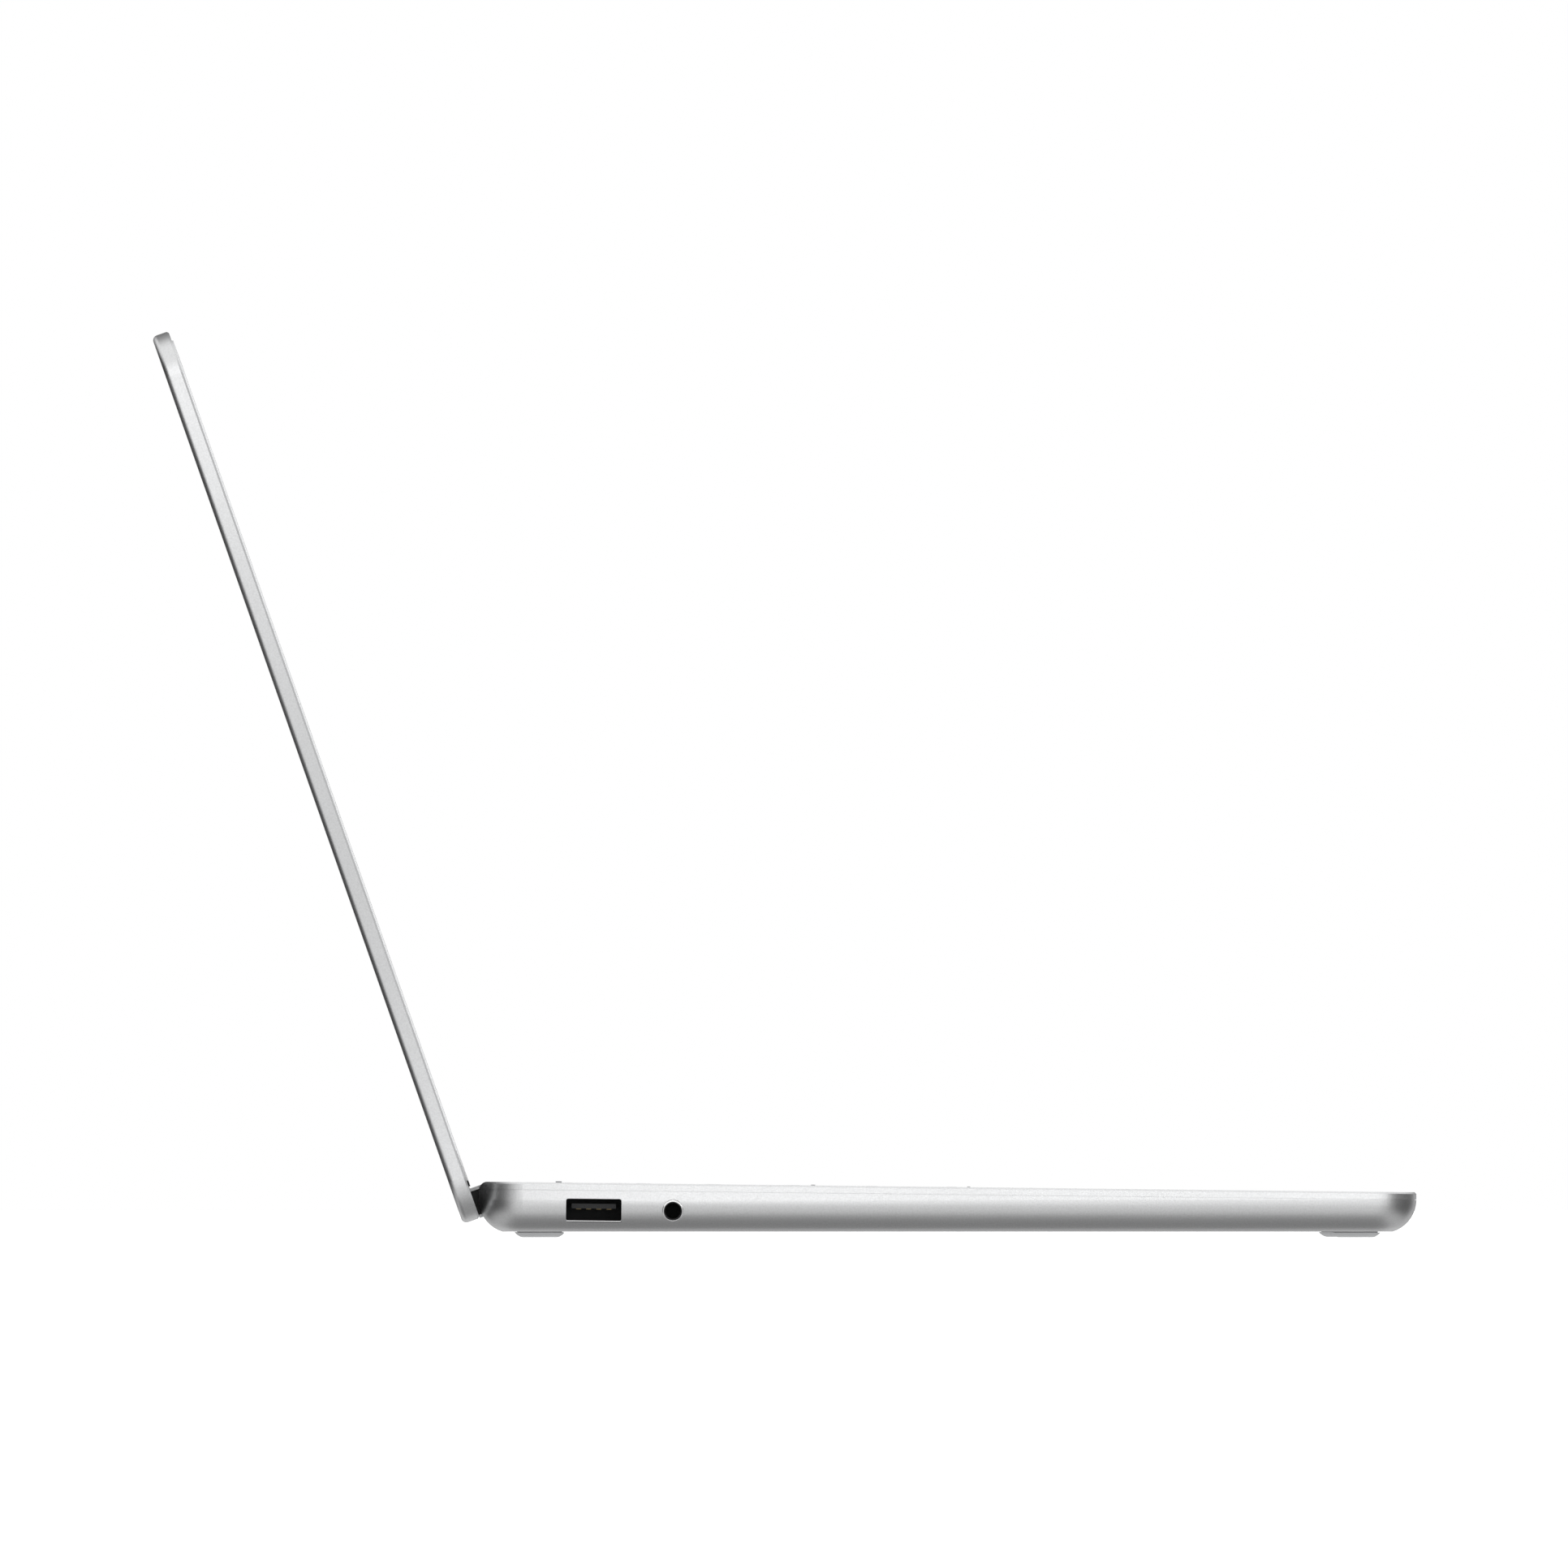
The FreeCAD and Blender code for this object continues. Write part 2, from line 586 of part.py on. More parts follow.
def bottom_cover(outside, above_seam, cavity, notch, groove, pin_way):
    """The tub: floor, side walls with the ports, air and sound slots and screw holes."""
    tools = [above_seam, cavity, notch, groove, pin_way]
    tools += usb_a_openings()
    tools += usb_c_openings()
    tools += jack_openings()
    for index, (x, back) in enumerate(COVER_SCREWS):
        foot = (x, level_y(back), "sizes.foot_height")
        tools.append(drum(f"cover_hole_{index}", LEVEL, foot, SCREW_HOLE, "2"))
        tools.append(cone(f"cover_sink_{index}", LEVEL, foot, f"{HEAD_RADIUS} + 0.05", SCREW_HOLE,
                          HEAD_HEIGHT))
    for side, start in (("left", "-133"), ("right", "124")):
        tools.append(slot_row(f"{side}_sound_slots", LEVEL, (start, level_y("30"), "0.5"),
                              (f"{start} + 9", level_y("31.2"), "3"), "V_Axis", "3", 13))
    tools.append(slot_row("intake_slots", LEVEL, ("sizes.fan_x - 16", level_y("154"), "0.5"),
                          ("sizes.fan_x + 16", level_y("155.6"), "3"), "V_Axis", "3.4", 10))
    exhaust = bar("exhaust_slots", DECK, "66", "68.4",
                  lambda sketch: rectangle(sketch, "204", "208", "-5.6", "-3"))
    across = exhaust.newObject("PartDesign::LinearPattern", "exhaust_pattern")
    across.TransformMode = "Whole shape"
    across.Direction = (exhaust.Group[0], ["N_Axis"])
    across.Mode = "Spacing"
    across.Offset = 4
    across.Occurrences = 10
    exhaust.Tip = across
    tools.append(exhaust)
    keep(cut("bottom_cover_form", outside, *tools), "bottom_cover")


# ---- ports -------------------------------------------------------------------------------------

def port_rectangle(sketch, back, depth, wide, high, corner):
    rectangle(sketch, f"{back} - ({wide}) / 2", f"{back} + ({wide}) / 2",
              f"-({depth}) - ({high}) / 2", f"-({depth}) + ({high}) / 2", corner)


SHELL_WALL = "0.3"
JACK_NOSE = "2.17"
JACK_HOLE = "2.2"
JACK_LENGTH = "14"


def usb_a_openings():
    mouth = bar("usb_a_mouth", DECK, "-places.side - 1", "-places.side + sizes.port_sink",
                lambda sketch: port_rectangle(sketch, "sizes.usb_a_back", "sizes.usb_a_depth",
                                              "sizes.usb_a_wide", "sizes.usb_a_high", "0.5"))
    seat = bar("usb_a_seat", DECK, "-places.side + sizes.port_sink", "-places.side + 6",
               lambda sketch: port_rectangle(sketch, "sizes.usb_a_back", "sizes.usb_a_depth",
                                             f"sizes.usb_a_wide + 2 * {SHELL_WALL} + 0.1",
                                             f"sizes.usb_a_high + 2 * {SHELL_WALL} + 0.1", "0.8"))
    return [mouth, seat]


def usb_c_openings():
    return [bar("usb_c_mouth", DECK, "places.side - 6", "places.side + 1",
                lambda sketch: port_rectangle(sketch, "sizes.usb_c_back", "sizes.usb_a_depth",
                                              "sizes.usb_c_wide + 0.1", "sizes.usb_c_high + 0.1",
                                              "1.6"))]


def jack_openings():
    """A round hole with a bevelled mouth."""
    hole = bar("jack_hole", DECK, "-places.side - 1", "-places.side + 6",
               lambda sketch: circle(sketch, "sizes.jack_back", "-sizes.jack_depth", JACK_HOLE))
    bevel = body_in(DECK, "jack_bevel")
    place(bevel, DECK, ("-places.side", "sizes.jack_back", "-sizes.jack_depth"))
    half = sketch_on(bevel, "XY_Plane", "0")
    outline(half, ("-1", "0"), ("0.75", "0"), ("0.75", "2.1"), ("0.4", "2.2"), ("-0.6", "3.2"),
            ("-1", "3.2"))
    turned = bevel.newObject("PartDesign::Revolution", "jack_bevel_turned")
    turned.Profile = half
    turned.ReferenceAxis = (half, ["H_Axis"])
    turned.Angle = 360
    return [hole, bevel]


def ports():
    """Metal shells, plastic tongues and the headphone socket."""
    inner = ("sizes.usb_a_wide", "sizes.usb_a_high")
    start = "-places.side + sizes.port_sink"
    end = f"({start} + 14)"

    def shell_outline(sketch):
        grown = [f"{size} + 2 * {SHELL_WALL}" for size in inner]
        port_rectangle(sketch, "sizes.usb_a_back", "sizes.usb_a_depth", *grown, "0.75")
        port_rectangle(sketch, "sizes.usb_a_back", "sizes.usb_a_depth", *inner, "0.5")

    keep(bar("usb_a_tube", DECK, start, end, shell_outline), "usb_a_shell")
    back_block = bar("usb_a_back_block", DECK, f"{end} - 2", end,
                     lambda sketch: port_rectangle(sketch, "sizes.usb_a_back", "sizes.usb_a_depth",
                                                   "sizes.usb_a_wide - 0.1", "sizes.usb_a_high - 0.1",
                                                   "0.45"))
    tongue = bar("usb_a_blade", DECK, f"{start} + 1.3", f"{end} - 1",
                 lambda sketch: port_rectangle(sketch, "sizes.usb_a_back", "sizes.usb_a_depth - 0.83",
                                               "10.1", "1.1", "0.2"))
    keep(fuse("usb_a_plastic", back_block, tongue), "usb_a_tongue")

    def small_shell(sketch):
        port_rectangle(sketch, "sizes.usb_c_back", "sizes.usb_a_depth",
                       "sizes.usb_c_wide", "sizes.usb_c_high", "1.55")
        port_rectangle(sketch, "sizes.usb_c_back", "sizes.usb_a_depth",
                       f"sizes.usb_c_wide - 2 * {SHELL_WALL}", f"sizes.usb_c_high - 2 * {SHELL_WALL}",
                       "1.25")

    keep(bar("usb_c_tube", DECK, "places.side - 9", "places.side - 0.6", small_shell), "usb_c_shell")
    small_back = bar("usb_c_back_block", DECK, "places.side - 9", "places.side - 7.6",
                     lambda sketch: port_rectangle(sketch, "sizes.usb_c_back", "sizes.usb_a_depth",
                                                   f"sizes.usb_c_wide - 2 * {SHELL_WALL} - 0.1",
                                                   f"sizes.usb_c_high - 2 * {SHELL_WALL} - 0.1", "1.2"))
    small_tongue = bar("usb_c_blade", DECK, "places.side - 8", "places.side - 1.6",
                       lambda sketch: port_rectangle(sketch, "sizes.usb_c_back", "sizes.usb_a_depth",
                                                     "6.7", "0.7", "0.3"))
    keep(fuse("usb_c_plastic", small_back, small_tongue), "usb_c_tongue")

    centre = ("sizes.jack_back", "-sizes.jack_depth")
    nose = bar("jack_nose", DECK, "-places.side + 0.9", "-places.side + sizes.port_wall + 0.5",
               lambda sketch: circle(sketch, *centre, JACK_NOSE))
    housing = bar("jack_housing", DECK, "-places.side + sizes.port_wall",
                  f"-places.side + {JACK_LENGTH}",
                  lambda sketch: rectangle(sketch, "sizes.jack_back - 3.2", "sizes.jack_back + 3.2",
                                           "-sizes.jack_depth - 2.6", "-sizes.jack_depth + 2.6", "0.4"))
    bore = bar("jack_bore_way", DECK, "-places.side", f"-places.side + {JACK_LENGTH} - 1",
               lambda sketch: circle(sketch, *centre, "sizes.jack_bore"))
    keep(cut("jack_form", fuse("jack_solid", nose, housing), bore), "audio_jack")


# ---- keyboard and trackpad ---------------------------------------------------------------------

BUMP_ROOT = "-0.3"


def bump(name, x, back, wide, deep, high):
    """A small raised mark on a keycap for the finger to find."""
    return block(name, DECK, (f"{x} - {wide} / 2", f"{back} - {deep} / 2", BUMP_ROOT),
                 (f"{x} + {wide} / 2", f"{back} + {deep} / 2", high))


def keyboard():
    caps = {run[0]: keycaps(f"{run[0]}_cap", *run[1:]) for run in KEY_RUNS}
    for upper in (False, True):
        name = "arrow_up" if upper else "arrow_down"
        caps[name] = plate(
            f"{name}_cap", DECK, "-sizes.key_thick", "0",
            lambda sketch, upper=upper: rectangle(sketch, *half_key_outline(upper, "0"),
                                                  "sizes.key_corner"))
        body = caps[name]
        soften(body, "Fillet", body.Tip, "0.25", at_height("0"))

    home_marks = [bump(f"home_mark_{side}", f"({units} * sizes.key_pitch)", "136.7", "3.2", "0.7", "0.2")
                  for side, units in (("left", "-2.25"), ("right", "0.75"))]
    keep(group("function_caps", caps["function_run"], caps["delete"]), "function_keys")
    power_mark = bump("power_mark", "(6 * sizes.key_pitch)", "194.9", "5", "1.4", "0.35")
    keep(fuse("power_cap_marked", caps["power"], power_mark), "power_key")
    keep(caps["number_run"], "number_keys")
    keep(caps["backspace"], "backspace_key")
    keep(caps["tab"], "tab_key")
    keep(group("upper_caps", caps["upper_run"], caps["backslash"]), "upper_letter_keys")
    keep(caps["caps_lock"], "caps_lock_key")
    keep(fuse("home_caps_marked", caps["home_run"], *home_marks), "home_letter_keys")
    keep(caps["enter"], "enter_key")
    keep(caps["left_shift"], "left_shift_key")
    keep(caps["lower_run"], "lower_letter_keys")
    keep(caps["right_shift"], "right_shift_key")
    keep(group("modifier_caps", caps["left_control"], caps["left_modifier_run"],
               caps["left_alternate"], caps["right_modifier_run"]), "modifier_keys")
    keep(caps["space_bar"], "space_bar")
    down_mark = bump("down_mark", "(6 * sizes.key_pitch)", "100.2", "5", "0.7", "0.2")
    down = fuse("arrow_down_marked", caps["arrow_down"], down_mark)
    keep(group("arrow_caps", caps["arrow_left"], caps["arrow_up"], down, caps["arrow_right"]),
         "arrow_keys")

    half = "7.5 * sizes.key_pitch + 0.7"
    front, back = "sizes.keys_front - 1.4", "sizes.keys_front + 5 * sizes.key_pitch + 10"
    keep(plate("membrane_sheet", DECK, "-2.8", "-2.5",
               lambda sketch: rectangle(sketch, f"-({half})", half, front, back, "1")),
         "key_membrane")
    support = plate("keyboard_plate_sheet", DECK, "-3.2", "-2.8",
                    lambda sketch: rectangle(sketch, f"-({half})", half, front, back, "1"))
    window = plate("keyboard_plate_window", DECK, "-4", "-2.8",
                   lambda sketch: rectangle(sketch, "-7.3 * sizes.key_pitch", "-6.7 * sizes.key_pitch",
                                            "sizes.keys_front + 3", "sizes.keys_front + 6", "1"))
    keep(cut("keyboard_plate_form", support, repeat(window, "H_Axis", "sizes.key_pitch", 15)),
         "keyboard_plate")


def trackpad():
    pad_plate = plate("trackpad_glass", DECK, "-sizes.pad_thick", "0",
                      lambda sketch: rectangle(sketch, "-sizes.pad_half", "sizes.pad_half",
                                               "sizes.pad_front", "sizes.pad_back", "2"))
    soften(pad_plate, "Fillet", pad_plate.Tip, "0.2", at_height("0"))
    keep(pad_plate, "trackpad_plate")
    bracket = block("trackpad_carrier", DECK, ("-56", "12.2", "-3.4"), ("56", "85.5", "-2.6"))
    window = block("trackpad_carrier_window", DECK, ("-30", "26", "-4"), ("30", "74", "-2"))
    ears = [block(f"trackpad_ear_{side}", DECK, (low, "82", "-2.8"), (high, "85.5", "-1.25"))
            for side, low, high in (("left", "-57.5", "-54.6"), ("right", "54.6", "57.5"))]
    keep(fuse("trackpad_frame", cut("trackpad_carrier_open", bracket, window), *ears),
         "trackpad_bracket")
    switch_case = block("trackpad_switch_case", DECK, ("-3", "17", "-2.6"), ("3", "23", "-2.1"))
    switch_dome = drum("trackpad_switch_dome", DECK, ("0", "20", "-2.2"), "1.6", "0.3")
    keep(fuse("trackpad_switch_form", switch_case, switch_dome), "trackpad_switch")


# ---- inside the base ---------------------------------------------------------------------------

def chip(name, x, back, wide, deep, low, high):
    """A flat electronic piece, placed by its middle."""
    return block(name, LEVEL, (f"({x}) - ({wide}) / 2", level_y(f"({back}) - ({deep}) / 2"), low),
                 (f"({x}) + ({wide}) / 2", level_y(f"({back}) + ({deep}) / 2"), high))


def electronics():
    board = plate("board_sheet", LEVEL, "3.6", "4.6",
                  lambda sketch: outline(sketch,
                                         ("-125", level_y("146")), ("56", level_y("146")),
                                         ("56", level_y("196")), ("-110", level_y("196")),
                                         ("-110", level_y("200")), ("-125", level_y("200"))))
    posts = [drum(f"board_post_{index}", LEVEL, (x, level_y(back), "places.floor_top"), "2.2", "1.3")
             for index, (x, back) in enumerate((("-120", "150"), ("50", "150"), ("-60", "192"), ("52", "192")))]
    keep(board, "motherboard")
    keep(group("board_posts", *posts), "board_standoffs")
    keep(group("chips",
               chip("processor", "25", "172", "24", "20", "4.6", "5.8"),
               chip("memory_a", "-25", "189", "14", "9", "4.6", "5.6"),
               chip("memory_b", "-8", "189", "14", "9", "4.6", "5.6"),
               chip("memory_c", "9", "189", "14", "9", "4.6", "5.6"),
               chip("memory_d", "26", "189", "14", "9", "4.6", "5.6"),
               chip("audio_chip", "-100", "181", "7", "7", "4.6", "5.5"),
               chip("port_chip", "-100", "192", "9", "9", "4.6", "5.7"),
               chip("power_chip", "-75", "186", "12", "12", "4.6", "5.9"),
               chip("drive_socket", "-119", "161", "6", "22", "4.6", "6.9"),
               chip("wireless_socket", "-19", "181.5", "20", "3", "4.6", "6.9")),
         "board_chips")
    drive = fuse("drive_form",
                 chip("drive_board", "-76", "161", "79", "22", "5.4", "6.2"),
                 chip("drive_memory_a", "-95", "161", "22", "18", "6", "7.4"),
                 chip("drive_memory_b", "-65", "161", "22", "18", "6", "7.4"))
    keep(drive, "solid_state_drive")
    card = fuse("card_form",
                chip("card_board", "-19", "165", "22", "29.6", "5.4", "6.2"),
                chip("card_shield", "-19", "165", "18", "22", "6", "7.4"))
    keep(card, "wireless_card")


def battery():
    spots = (("left_front", "-89", "50", "58", "72"), ("right_front", "89", "50", "58", "72"),
             ("left_middle", "-66", "119", "104", "44"), ("right_middle", "66", "119", "104", "44"))
    cells = []
    for name, x, back, wide, deep in spots:
        cell = chip(f"cell_{name}", x, back, wide, deep, "2.7", "7.2")
        rounded = doc.addObject("Part::Fillet", f"cell_{name}_soft")
        rounded.Base = cell
        doc.recompute()
        upright = [index for index, edge in enumerate(cell.Shape.Edges, start=1)
                   if abs(edge.tangentAt(edge.FirstParameter).z) > 0.9]
        rounded.Edges = [(index, 1.5, 1.5) for index in upright]
        cells.append(rounded)
    keep(group("cells", *cells), "battery_cells")
    trays = [chip(f"tray_{name}", x, back, f"{wide} + 2", f"{deep} + 2", "places.floor_top", "2.7")
             for name, x, back, wide, deep in spots]
    link = chip("tray_link", "0", "119", "30", "12", "places.floor_top", "2.6")
    keep(fuse("tray_form", *trays[2:], link), "battery_tray")
    keep(group("front_trays", *trays[:2]), "battery_pads")


def cooling():
    fan = ("sizes.fan_x", level_y("sizes.fan_back"))
    shell = chip("fan_block", "sizes.fan_x", "sizes.fan_back", "52", "48.6", "2.9", "7.6")
    room = drum("fan_room", LEVEL, (*fan, "3.4"), "sizes.fan_radius + 2", "3.7")
    intake = drum("fan_intake", LEVEL, (*fan, "2"), "15", "2")
    outlet = block("fan_outlet", LEVEL, ("sizes.fan_x - 20", level_y("sizes.fan_back"), "3.4"),
                   ("sizes.fan_x + 20", level_y("sizes.fan_back + 30"), "7.1"))
    hollow = cut("fan_shell", shell, room, intake, outlet)
    axle = drum("fan_axle", LEVEL, (*fan, "4"), "sizes.pin_radius", "3.2")
    keep(fuse("fan_case", hollow, axle), "fan_housing")

    hub = drum("fan_hub", LEVEL, (*fan, "3.8"), "9", "2.9")
    blades = []
    blade_count = 27
    for index in range(blade_count):
        blade = doc.addObject("Part::Box", f"fan_blade_{index}")
        turn = 360 / blade_count * index
        bind(blade, "Length", "sizes.fan_radius - 8.5")
        bind(blade, "Width", "0.6")
        bind(blade, "Height", "2.7")
        blade.Placement.Rotation = Rotation(Vector(0, 0, 1), turn + 25)
        bind(blade, "Placement.Base.x", f"sizes.fan_x + 8.4 * cos({turn})")
        bind(blade, "Placement.Base.y", f"{fan[1]} + 8.4 * sin({turn})")
        bind(blade, "Placement.Base.z", "3.9")
        blades.append(blade)
    bore = drum("fan_bore", LEVEL, (*fan, "3"), "sizes.pin_radius + sizes.pin_clearance", "5")
    keep(cut("fan_wheel", fuse("fan_wheel_solid", hub, *blades), bore), "fan_rotor")

    fins = block("fin_block", LEVEL, ("64", level_y("196"), "3.2"), ("108", level_y("204"), "6.4"))
    channel = bar("fin_channels", LEVEL, "65", "66.5",
                  lambda sketch: rectangle(sketch, level_y("195"), level_y("205"), "3.5", "6.1"))
    along = channel.newObject("PartDesign::LinearPattern", "fin_pattern")
    along.TransformMode = "Whole shape"
    along.Direction = (channel.Group[0], ["N_Axis"])
    along.Mode = "Spacing"
    along.Offset = 2
    along.Occurrences = 21
    channel.Tip = along
    keep(cut("fin_form", fins, channel), "heat_sink_fins")

    pipe = plate("pipe_run", LEVEL, "6.5", "8",
                 lambda sketch: outline(sketch,
                                        ("12", level_y("168.5")), ("48", level_y("168.5"), "10"),
                                        ("58", level_y("178.5")), ("58", level_y("188.5"), "-8"),
                                        ("66", level_y("196.5")), ("107", level_y("196.5")),
                                        ("107", level_y("203.5")), ("66", level_y("203.5"), "15"),
                                        ("51", level_y("188.5")), ("51", level_y("178.5"), "-3"),
                                        ("48", level_y("175.5")), ("12", level_y("175.5"))))
    cold_plate = chip("cold_plate", "25", "172", "26", "22", "5.8", "6.6")
    keep(fuse("pipe_form", pipe, cold_plate), "heat_pipe")


def sound():
    for side, sign in (("left", "-1"), ("right", "1")):
        case = chip(f"{side}_speaker_case", f"{sign} * 128", "50", "14", "60", "2.9", "7.6")
        cone_room = drum(f"{side}_speaker_well", LEVEL, (f"{sign} * 128", level_y("50"), "2"), "5.5", "2")
        keep(cut(f"{side}_speaker_form", case, cone_room), f"speaker_{side}")


def ribbons():
    """Flat cables that lie folded inside the base."""
    keyboard_fold = bar("keyboard_fold", LEVEL, "-4", "10",
                        lambda sketch: outline(sketch,
                                               (level_y("143.2"), "3.2"), (level_y("143.5"), "3.2"),
                                               (level_y("143.5"), "8.15"), (level_y("139"), "8.15"),
                                               (level_y("139"), "7.85"), (level_y("143.2"), "7.85")))
    keep(keyboard_fold, "keyboard_ribbon")
    keep(block("trackpad_fold", LEVEL, ("-3", level_y("76"), "3"), ("3", level_y("142.8"), "3.25")),
         "trackpad_ribbon")


def screw(name, x, back):
    """A countersunk cover screw with a six-sided socket."""
    foot = (x, level_y(back), "sizes.foot_height")
    head = cone(f"{name}_head", LEVEL, foot, HEAD_RADIUS, SCREW_RADIUS, HEAD_HEIGHT)
    shank = drum(f"{name}_shank", LEVEL, foot, SCREW_RADIUS, "5")
    socket = doc.addObject("Part::Prism", f"{name}_socket")
    socket.Polygon = 6
    bind(socket, "Circumradius", "0.75")
    bind(socket, "Height", "0.6")
    place(socket, LEVEL, foot)
    return cut(name, fuse(f"{name}_solid", head, shank), socket)


def fasteners_and_feet():
    screws = [screw(f"cover_screw_{index}", x, back) for index, (x, back) in enumerate(COVER_SCREWS)]
    keep(group("cover_screws", *screws), "bottom_cover_screws")
    feet = []
    for name, x, back in (("front_left", "-sizes.foot_half", "sizes.foot_front"),
                          ("front_right", "sizes.foot_half", "sizes.foot_front"),
                          ("rear_left", "-sizes.foot_half", "sizes.foot_rear"),
                          ("rear_right", "sizes.foot_half", "sizes.foot_rear")):
        foot = body_in(LEVEL, f"foot_{name}")
        place(foot, LEVEL, (x, level_y(back), "0"))
        half = sketch_on(foot, "XZ_Plane", "0")
        outline(half, ("0", "0"), ("3.7", "0", "2.6"), ("sizes.foot_radius", "1.1"),
                ("5.1", "1.1"), ("5.1", "sizes.foot_height"), ("0", "sizes.foot_height"))
        turned = foot.newObject("PartDesign::Revolution", f"foot_{name}_turned")
        turned.Profile = half
        turned.ReferenceAxis = (half, ["V_Axis"])
        turned.Angle = 360
        feet.append(foot)
    keep(group("four_feet", *feet), "feet")


# ---- hinge and lid -----------------------------------------------------------------------------

def hinge():
    reach = "sizes.hinge_half"
    barrel = "sizes.hinge_barrel"
    hollow = f"({barrel} - sizes.hinge_skin)"

    def channel(sketch, radius):
        outline(sketch, (f"-{radius}", "places.lid_inner"), (f"-{radius}", "0", radius),
                ("0", f"-{radius}", radius), (radius, "0"), (radius, "places.lid_inner"))

    solid = bar("hinge_bar", LID, f"-{reach}", reach, lambda sketch: channel(sketch, barrel))
    room = bar("hinge_room", LID, f"-{reach}", reach, lambda sketch: channel(sketch, hollow))
    keep(cut("hinge_channel", solid, room), "hinge_cover")

    caps, pins, leaves = [], [], []
    for side, sign in (("left", "-"), ("right", "")):
        def span(near, far, sign=sign):
            return (f"-({far})", f"-({near})") if sign else (near, far)

        plug = bar(f"{side}_cap_solid", LID, *span(f"{reach} - 3.5", f"{reach} - 0.3"),
                   lambda sketch: channel(sketch, f"({hollow} - 0.02)"))
        plug_bore = bar(f"{side}_cap_bore", LID, *span(f"{reach} - 5", f"{reach} + 1"),
                        lambda sketch: circle(sketch, "0", "0", "sizes.pin_radius + 0.03"))
        caps.append(cut(f"{side}_cap", plug, plug_bore))
        pins.append(bar(f"{side}_pin", LID, *span("91", "122.5"),
                        lambda sketch: circle(sketch, "0", "0", "sizes.pin_radius")))
        leaf_start, leaf_end = span("90", "103")
        arm = block(f"{side}_leaf_arm", LID, (leaf_start, "-2.5", "-1.05"), (leaf_end, "1.5", "places.lid_hollow"))
        strap = block(f"{side}_leaf_strap", LID, (leaf_start, "-34", "6.4"),
                      (leaf_end, "-2", "places.lid_hollow"))
        leaf_bore = bar(f"{side}_leaf_bore", LID, *span("89", "104"),
                        lambda sketch: circle(sketch, "0", "0", "sizes.pin_radius + 0.01"))
        leaves.append(cut(f"{side}_leaf", fuse(f"{side}_leaf_solid", arm, strap), leaf_bore))

        low, high = span("110", "123")
        flange = block(f"{side}_bracket_flange", DECK, (low, "199.5", "-2.1"), (high, "211.6", "-1.2"))
        web = block(f"{side}_bracket_web", DECK, (low, "208.8", "-sizes.hinge_depth"), (high, "212", "-2"))
        knuckle = bar(f"{side}_knuckle", DECK, low, high,
                      lambda sketch: circle(sketch, "sizes.hinge_back", "-sizes.hinge_depth", "1.65"))
        bearing = bar(f"{side}_bearing", DECK, *span("109", "124"),
                      lambda sketch: circle(sketch, "sizes.hinge_back", "-sizes.hinge_depth",
                                            "sizes.pin_radius + sizes.pin_clearance"))
        bracket = cut(f"{side}_bracket", fuse(f"{side}_bracket_solid", flange, web, knuckle), bearing)
        keep(bracket, f"hinge_bracket_{side}")
    keep(group("hinge_caps", *caps), "hinge_end_caps")
    keep(group("pins", *pins), "hinge_pins")
    keep(group("leaves", *leaves), "hinge_leaves")


